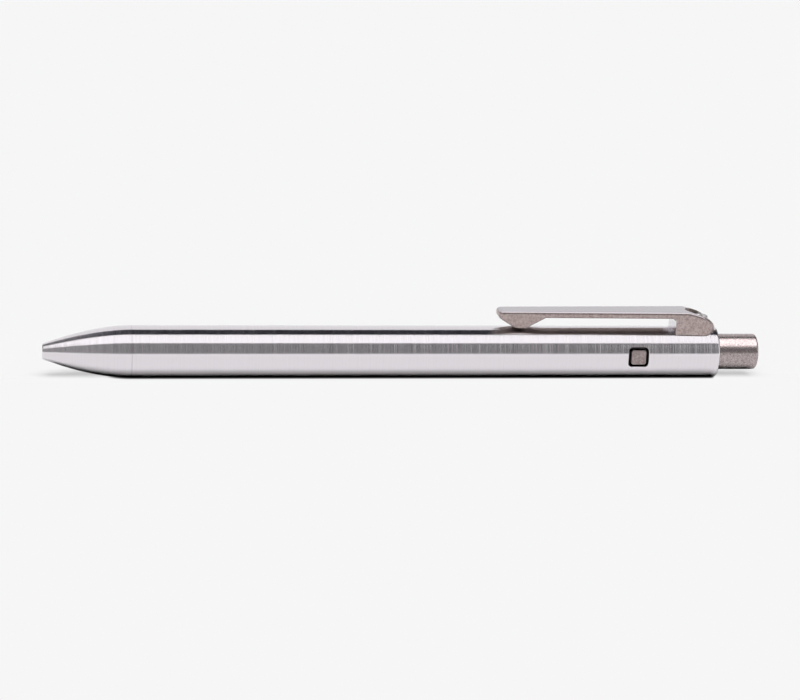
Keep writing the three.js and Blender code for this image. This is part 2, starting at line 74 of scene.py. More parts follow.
# How far a normal looks down on an underside, and along the pen on a wall across it.
UNDERSIDE = 0.5
ACROSS = 0.3
# How much of its length an edge along an axis has in that axis.
ALONG = 0.9
# How finely a wire's section is rounded.
WIRE_ROUND = 3
# The pitch of a spring's closed turn, in wire diameters, and the steps of each turn.
CLOSED_TURN = 1.04
COIL_STEPS = 40
# A thread cutter's half width in pitches, how far it stands proud in thread depths, and its steps in a turn.
CUTTER_HALF = 0.46
CUTTER_PROUD = 0.2
CUTTER_STEPS = 72

Piece = bpy.types.Object
Outline = list[tuple[float, float]]
Test = Callable[[Any], bool]


class Cut(Enum):
    """How a tool changes the piece that it meets."""

    AWAY = "DIFFERENCE"
    SHARED = "INTERSECT"
    JOINED = "UNION"


class Part(Enum):
    """What is picked in edit mode."""

    VERTS = "VERT"
    EDGES = "EDGE"
    FACES = "FACE"


# Modelling by hand


def pick_none() -> None:
    """Leaves edit mode and deselects every object."""
    if bpy.context.mode != "OBJECT":
        bpy.ops.object.mode_set(mode="OBJECT")
    bpy.ops.object.select_all(action="DESELECT")


def pick(piece: Piece) -> None:
    """Makes one piece the only selected and the active object.

    Args:
        piece: The piece to pick.
    """
    pick_none()
    piece.select_set(True)
    bpy.context.view_layer.objects.active = piece


@contextmanager
def editing(piece: Piece, part: Part = Part.FACES) -> Iterator[None]:
    """Opens a piece in edit mode with nothing selected, and closes it afterwards.

    Args:
        piece: The piece to edit.
        part: What is picked in edit mode.
    """
    pick(piece)
    bpy.ops.object.mode_set(mode="EDIT")
    bpy.ops.mesh.select_mode(type=part.value)
    bpy.ops.mesh.select_all(action="DESELECT")
    yield
    bpy.ops.object.mode_set(mode="OBJECT")


def select(piece: Piece, part: Part, test: Test) -> int:
    """Selects what passes a test in a piece that is open in edit mode.

    Args:
        piece: The piece, open in edit mode.
        part: What is tested.
        test: Tells from a vertex, edge or face whether it is selected.

    Returns:
        How many passed.
    """
    shape = bmesh.from_edit_mesh(piece.data)
    shape.normal_update()
    chosen = [element for element in getattr(shape, part.name.lower()) if test(element)]
    for element in chosen:
        element.select_set(True)
    shape.select_flush_mode()
    bmesh.update_edit_mesh(piece.data)
    return len(chosen)


def named(name: str) -> Piece:
    """Names the active object and its mesh.

    Args:
        name: The name.

    Returns:
        The object.
    """
    piece = bpy.context.view_layer.objects.active
    piece.name = name
    piece.data.name = name
    return piece


def near(points: list[tuple[float, float, float]]) -> Test:
    """Makes a test for the vertices that lie at given points.

    Args:
        points: The points.

    Returns:
        The test.
    """
    tree = KDTree(len(points))
    for index, point in enumerate(points):
        tree.insert(point, index)
    tree.balance()
    return lambda vert: tree.find(vert.co)[2] < WELD


def draw(name: str, *chains: list[tuple[float, float, float]], closed: bool = True) -> Piece:
    """Draws chains of edges by extruding a vertex from point to point.

    Args:
        name: The name of the new piece.
        chains: The points of each chain.
        closed: Whether an edge joins the last point of a chain to its first.

    Returns:
        The new piece, whose origin is the pen frame's.
    """
    pick_none()
    for points in chains:
        bpy.ops.mesh.primitive_plane_add(size=1, enter_editmode=True)
        bpy.ops.mesh.select_mode(type="VERT")
        bpy.ops.mesh.merge(type="CENTER")
        bpy.ops.transform.translate(value=points[0])
        for last, point in zip(points, points[1:]):
            step = Vector(point) - Vector(last)
            bpy.ops.mesh.extrude_vertices_move(TRANSFORM_OT_translate={"value": step})
        if closed:
            select(bpy.context.object, Part.VERTS, near(points[:1]))
            bpy.ops.mesh.edge_face_add()
    bpy.ops.object.mode_set(mode="OBJECT")
    return named(name)


def lofted(name: str, rings: list[list[tuple[float, float, float]]], caps: bool = True) -> Piece:
    """Bridges rings of equally many points, from each ring to the next.

    Args:
        name: The name of the new piece.
        rings: The points of each ring.
        caps: Whether the first and the last ring are filled.

    Returns:
        The lofted piece.
    """
    piece = draw(name, *rings)
    with editing(piece, Part.VERTS):
        for ring, following in zip(rings, rings[1:]):
            bpy.ops.mesh.select_all(action="DESELECT")
            select(piece, Part.VERTS, near(ring + following))
            bpy.ops.mesh.bridge_edge_loops()
        for ring in (rings[0], rings[-1]) if caps else ():
            bpy.ops.mesh.select_all(action="DESELECT")
            select(piece, Part.VERTS, near(ring))
            bpy.ops.mesh.edge_face_add()
    return tidied(piece)


def lathe(name: str, outline: Outline, steps: int = 192, closed: bool = True) -> Piece:
    """Turns an outline about the pen's axis.

    Args:
        name: The name of the new piece.
        outline: Stations and radii.
        steps: How many facets go round.
        closed: Whether the outline closes on itself, and doesn't start and end on the axis.

    Returns:
        The turned piece.
    """
    piece = draw(name, [(station, 0, radius) for station, radius in outline], closed=closed)
    with editing(piece, Part.VERTS):
        bpy.ops.mesh.select_all(action="SELECT")
        bpy.ops.mesh.spin(steps=steps, angle=FULL_TURN, center=(0, 0, 0), axis=(1, 0, 0))
    return tidied(piece)


def tidied(piece: Piece) -> Piece:
    """Welds a piece's doubles and turns its faces outwards.

    Args:
        piece: The piece.

    Returns:
        The same piece.
    """
    with editing(piece, Part.VERTS):
        bpy.ops.mesh.select_all(action="SELECT")
        bpy.ops.mesh.remove_doubles(threshold=WELD)
        bpy.ops.mesh.normals_make_consistent(inside=False)
    return piece


def slab(name: str, outline: list[tuple[float, float, float]], through: tuple[float, float, float]) -> Piece:
    """Fills a flat outline and extrudes it.

    Args:
        name: The name of the new piece.
        outline: The points of the outline.
        through: The way and the distance of the extrusion.

    Returns:
        The solid piece.
    """
    piece = draw(name, outline)
    with editing(piece, Part.FACES):
        bpy.ops.mesh.select_all(action="SELECT")
        bpy.ops.mesh.edge_face_add()
        bpy.ops.mesh.select_all(action="SELECT")
        bpy.ops.mesh.extrude_region_move(TRANSFORM_OT_translate={"value": through})
    return tidied(piece)


def block(name: str, size: tuple[float, float, float], centre: tuple[float, float, float]) -> Piece:
    """Makes a block by stretching a cube in edit mode.

    Args:
        name: The name of the new piece.
        size: Its length, width and height.
        centre: Its middle.

    Returns:
        The block.
    """
    pick_none()
    bpy.ops.mesh.primitive_cube_add(size=1, enter_editmode=True)
    bpy.ops.transform.resize(value=size, center_override=(0, 0, 0))
    bpy.ops.transform.translate(value=centre)
    bpy.ops.object.mode_set(mode="OBJECT")
    return named(name)


def quarter_turned(piece: Piece, axis: str) -> Piece:
    """Turns a piece a quarter about one of the pen frame's axes, so that what lay along X stands up or crosses.

    Args:
        piece: The piece.
        axis: "Y" to stand it up along Z, or "Z" to lay it along Y.

    Returns:
        The same piece.
    """
    turn = {"Y": (0, -math.pi / 2, 0), "Z": (0, 0, math.pi / 2)}[axis]
    piece.rotation_euler = turn
    pick(piece)
    bpy.ops.object.transform_apply(location=False, rotation=True, scale=False)
    return piece


def shifted(piece: Piece, x: float = 0, y: float = 0, z: float = 0) -> Piece:
    """Moves a piece's mesh.

    Args:
        piece: The piece.
        x: The way along the pen.
        y: The way across it.
        z: The way up.

    Returns:
        The same piece.
    """
    piece.location = (x, y, z)
    pick(piece)
    bpy.ops.object.transform_apply(location=True, rotation=False, scale=False)
    return piece


def worked(piece: Piece, tool: Piece, cut: Cut = Cut.AWAY) -> Piece:
    """Cuts a piece with a tool, which is used up.

    Args:
        piece: The piece.
        tool: The tool.
        cut: What is kept.

    Returns:
        The same piece.
    """
    modifier = piece.modifiers.new("cut", "BOOLEAN")
    modifier.operation = cut.value
    modifier.solver = "EXACT"
    modifier.object = tool
    pick(piece)
    bpy.ops.object.modifier_apply(modifier=modifier.name)
    bpy.data.objects.remove(tool, do_unlink=True)
    return piece


def bevelled(piece: Piece, test: Test, width: float, segments: int = 3) -> Piece:
    """Breaks the edges that pass a test.

    Args:
        piece: The piece.
        test: Tells from an edge whether it is broken.
        width: How far the bevel reaches from the edge.
        segments: 1 for a chamfer, more for a round.

    Returns:
        The same piece.
    """
    with editing(piece, Part.EDGES):
        select(piece, Part.EDGES, test)
        bpy.ops.mesh.bevel(offset=width, segments=segments, affect="EDGES", clamp_overlap=False)
    return piece


def arc(x: float, y: float, radius: float, start: float, end: float, steps: int = 8) -> Outline:
    """Lays points along a round stretch of an outline.

    Args:
        x: The centre's first coordinate.
        y: The centre's second coordinate.
        radius: The round's radius.
        start: The first angle, in degrees.
        end: The last angle, in degrees.
        steps: How many edges the round has.

    Returns:
        The points.
    """
    angles = [math.radians(start + (end - start) * i / steps) for i in range(steps + 1)]
    return [(x + radius * math.cos(a), y + radius * math.sin(a)) for a in angles]


def bezier(controls: Outline, steps: int) -> Outline:
    """Lays points along a Bezier curve.

    Args:
        controls: Its control points.
        steps: How many edges it has.

    Returns:
        The points.
    """
    order = len(controls) - 1
    points = []
    for i in range(steps + 1):
        t = i / steps
        weights = [math.comb(order, k) * t**k * (1 - t) ** (order - k) for k in range(order + 1)]
        points.append(tuple(sum(w * c[axis] for w, c in zip(weights, controls)) for axis in (0, 1)))
    return points


def wire_along(name: str, points: list[Vector], wire: float) -> Piece:
    """Draws wire along points.

    Args:
        name: The name of the new piece.
        points: The middle of the wire.
        wire: Its diameter.

    Returns:
        The wire as a closed mesh.
    """
    curve = bpy.data.curves.new(name, "CURVE")
    curve.dimensions = "3D"
    curve.bevel_depth = wire / 2
    curve.bevel_resolution = WIRE_ROUND
    curve.use_fill_caps = True
    spline = curve.splines.new("POLY")
    spline.points.add(len(points) - 1)
    for target, point in zip(spline.points, points):
        target.co = (*point, 1)
    piece = bpy.data.objects.new(name, curve)
    bpy.context.scene.collection.objects.link(piece)
    pick(piece)
    bpy.ops.object.convert(target="MESH")
    return tidied(named(name))


def coil(name: str, radius: float, wire: float, start: float, end: float, turns: float) -> Piece:
    """Winds a compression spring along the pen's axis, with a closed turn at each end.

    Args:
        name: The name of the new piece.
        radius: The radius of the middle of the wire.
        wire: The wire's diameter.
        start: The station of the spring's front.
        end: The station of its rear.
        turns: How many turns it has between the closed ones.

    Returns:
        The spring.
    """
    closed_turn = CLOSED_TURN * wire
    free = end - start - wire - 2 * closed_turn
    points = []
    for i in range(round((turns + 2) * COIL_STEPS) + 1):
        turn = i / COIL_STEPS
        run = closed_turn * (min(turn, 1) + max(turn - 1 - turns, 0)) + free * min(max(turn - 1, 0), turns) / turns
        angle = FULL_TURN * turn
        points.append(Vector((start + wire / 2 + run, radius * math.cos(angle), radius * math.sin(angle))))
    return wire_along(name, points, wire)


def threaded(piece: Piece, start: float, end: float, radius: float, pitch: float, depth: float) -> Piece:
    """Cuts a screw thread into a turned piece.

    Args:
        piece: The piece.
        start: The station where the cutter goes in.
        end: The station where it runs out.
        radius: The thread's crest.
        pitch: Its pitch.
        depth: Its depth.

    Returns:
        The same piece.
    """
    half = CUTTER_HALF * pitch
    proud = radius + CUTTER_PROUD * depth
    tool = draw("cutter", [(start - half, 0, proud), (start, 0, radius - depth), (start + half, 0, proud)])
    screw = tool.modifiers.new("screw", "SCREW")
    screw.axis = "X"
    screw.screw_offset = pitch
    screw.iterations = round((end - start) / pitch)
    screw.steps = CUTTER_STEPS
    screw.render_steps = CUTTER_STEPS
    pick(tool)
    bpy.ops.object.modifier_apply(modifier=screw.name)
    with editing(tool, Part.VERTS):
        bpy.ops.mesh.select_all(action="SELECT")
        bpy.ops.mesh.fill_holes(sides=3)
    return worked(piece, tidied(tool))


# Where the pieces go


@dataclass(frozen=True)
class Span:
    """The space of a node in the pen's own frame, in millimetres.

    Attributes:
        front: The station of its front.
        rear: The station of its rear.
        radius: Half its width across the pen.
        top: Its highest point above the axis.
    """

    front: float
    rear: float
    radius: float
    top: float


@dataclass(frozen=True)
class Datum:
    """Where the pen's own frame lies, in metres.

    Attributes:
        nose_x: The open end of the nose.
        axis_z: The height of the axis.
    """

    nose_x: float
    axis_z: float

    @classmethod
    def from_frame(cls) -> "Datum":
        """Reads the datum from the nose and the barrel.

        Returns:
            The datum.
        """
        low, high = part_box("barrel")
        return cls(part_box("nose_cone")[0].x, (low.z + high.z) / 2)

    def span(self, node: str) -> Span:
        """Measures a node.

        Args:
            node: The node's name.

        Returns:
            Its space in the pen's own frame.
        """
        low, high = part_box(node)
        return Span(
            front=(low.x - self.nose_x) / MM,
            rear=(high.x - self.nose_x) / MM,
            radius=(high.y - low.y) / 2 / MM,
            top=(high.z - self.axis_z) / MM,
        )

    def place(self, piece: Piece) -> None:
        """Puts a piece from the pen's own frame into the world, and leaves its object at the origin.

        Args:
            piece: The piece, in millimetres.
        """
        piece.scale = (MM, MM, MM)
        piece.location = (self.nose_x, 0, self.axis_z)
        pick(piece)
        bpy.ops.object.transform_apply(location=True, rotation=True, scale=True)


# Finishes


def linear(colour: str) -> tuple[float, float, float, float]:
    """Turns an sRGB hex colour into linear light.

    Args:
        colour: The colour, such as #c0c0c0.

    Returns:
        Red, green, blue and alpha.
    """
    shares = [int(colour[i : i + 2], 16) / 255 for i in (1, 3, 5)]
    channels = [s / 12.92 if s <= 0.04045 else ((s + 0.055) / 1.055) ** 2.4 for s in shares]
    return (*channels, 1.0)


def add_node(tree: bpy.types.NodeTree, kind: str, inputs: dict[Any, Any] | None = None, **settings: Any) -> Any:
    """Adds a node with its settings and links.

    Args:
        tree: The material's nodes.
        kind: The node's type.
        inputs: What each input takes, a value or another node's output.
        settings: The node's own properties.

    Returns:
        The node.
    """
    node = tree.nodes.new(kind)
    for name, value in settings.items():
        setattr(node, name, value)
    for name, value in (inputs or {}).items():
        if isinstance(value, bpy.types.NodeSocket):
            tree.links.new(value, node.inputs[name])
        else:
            node.inputs[name].default_value = value
    return node


@dataclass(frozen=True)
class Finish:
    """A surface finish, which makes its material once.

    Attributes:
        name: The finish as a maker would call it.
        colour: The sRGB colour of the clean surface.
    """

    name: str
    colour: str

    def material(self) -> bpy.types.Material:
        """Makes the material, or finds the one made before.

        Returns:
            The material.
        """
        made = bpy.data.materials.get(self.name)
        if made is None:
            made = bpy.data.materials.new(self.name)
            made.use_nodes = True
            made.node_tree.nodes.clear()
            shader = self.surface(made.node_tree)
            add_node(made.node_tree, "ShaderNodeOutputMaterial", {"Surface": shader.outputs[0]})
        return made

    def surface(self, tree: bpy.types.NodeTree) -> Any:
        """Builds the nodes of the finish.

        Args:
            tree: The material's nodes.

        Returns:
            The shader node.
        """
        raise NotImplementedError


@dataclass(frozen=True)
class TurnedMetal(Finish):
    """Metal as the lathe left it: fine lines run round the axis, and light smears along it.

    The lines differ in how much they blur and tilt a little along the axis, and hardly differ in colour. So they
    show where the metal mirrors something uneven, and an even reflection stays even.

    Attributes:
        shade: The sRGB colour down in the tool lines.
        roughness: How blurred the reflections of the smooth lines are.
        scuffed: How blurred those of the roughest lines are.
        smear: How much more they blur along the axis.
        line_mm: The spacing of the lines, coarser than the real feed so that they show.
        fine_mm: The spacing of the finer lines between them.
        depth_mm: The depth of the lines.
    """

    shade: str = "#dfdbdf"
    roughness: float = 0.06
    scuffed: float = 0.14
    smear: float = 0.6
    line_mm: float = 0.27
    fine_mm: float = 0.1
    depth_mm: float = 0.024

    def surface(self, tree: bpy.types.NodeTree) -> Any:
        """Builds the nodes: two one-way noises along X give the lines.

        Args:
            tree: The material's nodes.

        Returns:
            The shader node.
        """
        place = add_node(tree, "ShaderNodeTexCoord")
        along = add_node(tree, "ShaderNodeSeparateXYZ", {"Vector": place.outputs["Object"]})
        line, fine = (
            add_node(
                tree,
                "ShaderNodeTexNoise",
                {"W": along.outputs["X"], "Scale": 1 / (spacing * MM), "Detail": 1.0},
                noise_dimensions="1D",
            )
            for spacing in (self.line_mm, self.fine_mm)
        )
        both = add_node(tree, "ShaderNodeMath", {0: line.outputs[0], 1: fine.outputs[0]}, operation="ADD")
        cut = add_node(tree, "ShaderNodeMapRange", {"Value": both.outputs[0], "From Min": 0.7, "From Max": 1.3})
        tone = add_node(
            tree,
            "ShaderNodeMix",
            {"Factor": cut.outputs[0], "A": linear(self.colour), "B": linear(self.shade)},
            data_type="RGBA",
        )
        blur = add_node(
            tree,
            "ShaderNodeMapRange",
            {"Value": cut.outputs[0], "To Min": self.roughness, "To Max": self.scuffed},
        )
        bump = add_node(
            tree,
            "ShaderNodeBump",
            {"Height": both.outputs[0], "Distance": self.depth_mm * MM, "Strength": 1.0},
        )
        round_axis = add_node(tree, "ShaderNodeTangent", direction_type="RADIAL", axis="X")
        return add_node(
            tree,
            "ShaderNodeBsdfPrincipled",
            {
                "Base Color": tone.outputs["Result"],
                "Metallic": 1.0,
                "Roughness": blur.outputs[0],
                "Anisotropic": self.smear,
                "Anisotropic Rotation": 0.25,
                "Normal": bump.outputs[0],
                "Tangent": round_axis.outputs[0],
            },
        )


@dataclass(frozen=True)
class TumbledMetal(Finish):
    """Metal rumbled with stones after machining: a soft mottled satin with tiny dents and no direction.

    Attributes:
        shade: The sRGB colour of the darker spots.
        roughness: How blurred its reflections are.
        top: The sRGB colour of faces that look up, or nothing: painted light, lighter and cooler, for the light that
            falls on top, where the stones also rubbed them smoother.
        top_roughness: How blurred the reflections of those faces are.
        grain_mm: The size of the finest mottle that shows.
        dent_mm: The size of the dents.
        depth_mm: The depth of the dents.
    """

    shade: str = "#a3918f"
    roughness: float = 0.33
    top: str = ""
    top_roughness: float = 0.2
    grain_mm: float = 0.2
    dent_mm: float = 0.45
    depth_mm: float = 0.003

    def surface(self, tree: bpy.types.NodeTree) -> Any:
        """Builds the nodes: a fine and a coarse noise in space.

        Args:
            tree: The material's nodes.

        Returns:
            The shader node.
        """
        place = add_node(tree, "ShaderNodeTexCoord")
        grain, dent = (
            add_node(
                tree,
                "ShaderNodeTexNoise",
                {"Vector": place.outputs["Object"], "Scale": 1 / (spacing * MM), "Detail": 2.0},
            )
            for spacing in (self.grain_mm, self.dent_mm)
        )
        both = add_node(tree, "ShaderNodeMath", {0: grain.outputs[0], 1: dent.outputs[0]}, operation="ADD")
        spots = add_node(tree, "ShaderNodeMapRange", {"Value": both.outputs[0], "From Min": 0.75, "From Max": 1.25})
        tone = add_node(
            tree,
            "ShaderNodeMix",
            {"Factor": spots.outputs[0], "A": linear(self.shade), "B": linear(self.colour)},
            data_type="RGBA",
        )
        colour = tone.outputs["Result"]
        blur = add_node(
            tree,
            "ShaderNodeMapRange",
            {"Value": spots.outputs[0], "To Min": 1.2 * self.roughness, "To Max": 0.85 * self.roughness},
        )
        rough = blur.outputs[0]
        # Painted light: faces that look up get the lighter, cooler top colour, and less roughness for their smoother
        # finish.
        if self.top:
            facing = add_node(tree, "ShaderNodeSeparateXYZ", {"Vector": place.outputs["Normal"]})
            up = add_node(
                tree,
                "ShaderNodeMapRange",
                {"Value": facing.outputs["Z"], "From Min": 0.45, "From Max": 0.85},
                interpolation_type="SMOOTHSTEP",
            )
            colour = add_node(
                tree,
                "ShaderNodeMix",
                {"Factor": up.outputs[0], "A": colour, "B": linear(self.top)},
                data_type="RGBA",
            ).outputs["Result"]
            rough = add_node(
                tree,
                "ShaderNodeMapRange",
                {"Value": up.outputs[0], "To Min": rough, "To Max": self.top_roughness},
            ).outputs[0]
        bump = add_node(
            tree,
            "ShaderNodeBump",
            {"Height": both.outputs[0], "Distance": self.depth_mm * MM, "Strength": 1.0},
        )
        return add_node(
            tree,
            "ShaderNodeBsdfPrincipled",
            {
                "Base Color": colour,
                "Metallic": 1.0,
                "Roughness": rough,
                "Normal": bump.outputs[0],
            },
        )


@dataclass(frozen=True)
class Moulded(Finish):
    """Plastic, rubber or gel as it comes from the mould or the tube, with a faint skin.

    Attributes:
        shade: The sRGB colour of the duller spots.
        roughness: How blurred its reflections are.
        clear: How much light passes through.
        skin_mm: The size of the skin's ripples.
        depth_mm: Their depth.
    """

    shade: str = "#d9d7cf"
    roughness: float = 0.4
    clear: float = 0.0
    skin_mm: float = 0.35
    depth_mm: float = 0.003

    def surface(self, tree: bpy.types.NodeTree) -> Any:
        """Builds the nodes: one noise in space for the skin.

        Args:
            tree: The material's nodes.

        Returns:
            The shader node.
        """
        place = add_node(tree, "ShaderNodeTexCoord")
        skin = add_node(
            tree,
            "ShaderNodeTexNoise",
            {"Vector": place.outputs["Object"], "Scale": 1 / (self.skin_mm * MM), "Detail": 3.0},
        )
        tone = add_node(
            tree,
            "ShaderNodeMix",
            {"Factor": skin.outputs[0], "A": linear(self.shade), "B": linear(self.colour)},
            data_type="RGBA",
        )
        blur = add_node(
            tree,
            "ShaderNodeMapRange",
            {"Value": skin.outputs[0], "To Min": 1.2 * self.roughness, "To Max": 0.8 * self.roughness},
        )
        bump = add_node(
            tree,
            "ShaderNodeBump",
            {"Height": skin.outputs[0], "Distance": self.depth_mm * MM, "Strength": 0.6},
        )
        return add_node(
            tree,
            "ShaderNodeBsdfPrincipled",
            {
                "Base Color": tone.outputs["Result"],
                "Roughness": blur.outputs[0],
                "IOR": 1.5,
                "Transmission Weight": self.clear,
                "Normal": bump.outputs[0],
            },
        )


# Bright stainless steel, fine turned: reflections in long crisp bands, broken up by lines round the barrel.
BRIGHT_TURNED = TurnedMetal("stainless steel, fine turned", "#e4dfe4")
# Stainless steel rumbled after milling: a warm grey satin, smoother on top, where a lighter, cooler colour is painted
# light.
TUMBLED = TumbledMetal("stainless steel, tumbled", "#c2b3b0", shade="#9d8c8a", top="#b8b3b9")
# The same steel on turned pieces, which are rubbed alike all round.
TUMBLED_ROUND = TumbledMetal("stainless steel, turned and tumbled", "#bcafaf", shade="#968a8a", roughness=0.27)
# The button's steel, dulled by the thumb.
WORN = TumbledMetal("stainless steel, milled and worn", "#a99c9b", shade="#8a7e7d", roughness=0.3)
# The wall that the cutter leaves in the recess and under the arm, rougher where no stone reaches it; its darker colour
# is painted shade.
CUT_IN_PAINTED_SHADE = TumbledMetal("stainless steel, as cut, painted shade", "#a79c97", shade="#7d736f", roughness=0.4)
# The walls across the root that the end mill leaves bright, at the end of the slot and in the recess.
END_MILLED = TumbledMetal("stainless steel, end milled", "#e6e3e6", shade="#cfcbce", roughness=0.12)
# Bright socket screw steel, turned: greyer than the clip round it.
SCREW = TurnedMetal("stainless screw steel", "#b4b0ae", shade="#8f8b8a", roughness=0.2, smear=0.2, line_mm=0.1)
# Hardened and ground steel, darker than the casing.
GROUND = TurnedMetal("tool steel, hardened and ground", "#98979c", shade="#7c7b80", roughness=0.18, line_mm=0.08)
# Black oxide on turned steel, on the guide block: painted shade, black so that the gap round the button stays dark.
BLACK_AS_GAP_SHADE = TumbledMetal("steel, black oxide, painted gap shade", "#2a2a2d", shade="#1c1c1f", roughness=0.5)
# Music wire, drawn smooth: a cool grey with long soft lights.
DRAWN_WIRE = TumbledMetal("spring wire, drawn", "#b9b9bd", shade="#95959a", roughness=0.2, grain_mm=0.06)
# Free-cutting brass, turned: warm yellow with fine lines.
TURNED_BRASS = TurnedMetal("brass, turned", "#d9bd76", shade="#b89a55", roughness=0.16, smear=0.4, line_mm=0.12)
# Nickel silver of the refill's point, turned very fine: a yellowish white.
NICKEL_SILVER = TurnedMetal("nickel silver, turned", "#cfcabb", shade="#aaa594", roughness=0.14, line_mm=0.06)
# Nitrile rubber, moulded: black with a dull skin.
NITRILE = Moulded("nitrile rubber, moulded", "#1c1c1e", shade="#121213", roughness=0.6)
# Clear polypropylene tube, extruded: the ink shows black through it.
CLEAR_TUBE = Moulded("polypropylene tube, clear", "#eef1f2", shade="#e4e8ea", roughness=0.12, clear=0.9)
# Milky white polypropylene, moulded: a soft sheen.
WHITE_MOULDED = Moulded("polypropylene, milky white", "#eceae3", roughness=0.35)
# Black gel ink, wet and glossy.
GEL_INK = Moulded("gel ink, black", "#0d0d10", shade="#08080a", roughness=0.12)
# Amber grease that follows the ink, glossy.
GREASE = Moulded("follower grease, amber", "#e2d7a4", shade="#d2c48a", roughness=0.15)


class SubAssembly:
    """What the sub-assemblies share: the datum and the handing over of finished pieces.

    Attributes:
        datum: The pen's own frame.
    """

    datum: Datum

    def hand_over(self, piece: Piece, node: str, finish: Finish, sharp: float = 28.0) -> Piece:
        """Places a piece, dresses it and lets it stand for its node, on the node's body.

        Args:
            piece: The piece, in the pen's own frame.
            node: The node that it stands for.
            finish: Its finish.
            sharp: The angle in degrees over which an edge stays sharp.

        Returns:
            The finished piece.
        """
        record = frame["record"]
        body = next(name for name, nodes in record["behaviour"]["bodies"].items() if node in nodes)
        self.datum.place(piece)
        pick(piece)
        bpy.ops.object.shade_smooth_by_angle(angle=math.radians(sharp))
        weighted = piece.modifiers.new("weighted", "WEIGHTED_NORMAL")
        weighted.keep_sharp = True
        bpy.ops.object.modifier_apply(modifier=weighted.name)
        piece.data.materials.clear()
        piece.data.materials.append(finish.material())
        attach(piece, body)
        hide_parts(node)
        LOG.info("%s: %d faces, %s, on %s", piece.name, len(piece.data.polygons), finish.name, body)
        return piece

    def dress(self, piece: Piece, test: Test, finish: Finish) -> None:
        """Gives some faces of a finished piece another finish.

        Args:
            piece: The finished piece.
            test: Tells from a face whether it gets the finish.
            finish: The finish.
        """
        piece.data.materials.append(finish.material())
        with editing(piece, Part.FACES):
            select(piece, Part.FACES, test)
            piece.active_material_index = len(piece.data.materials) - 1
            bpy.ops.object.material_slot_assign()


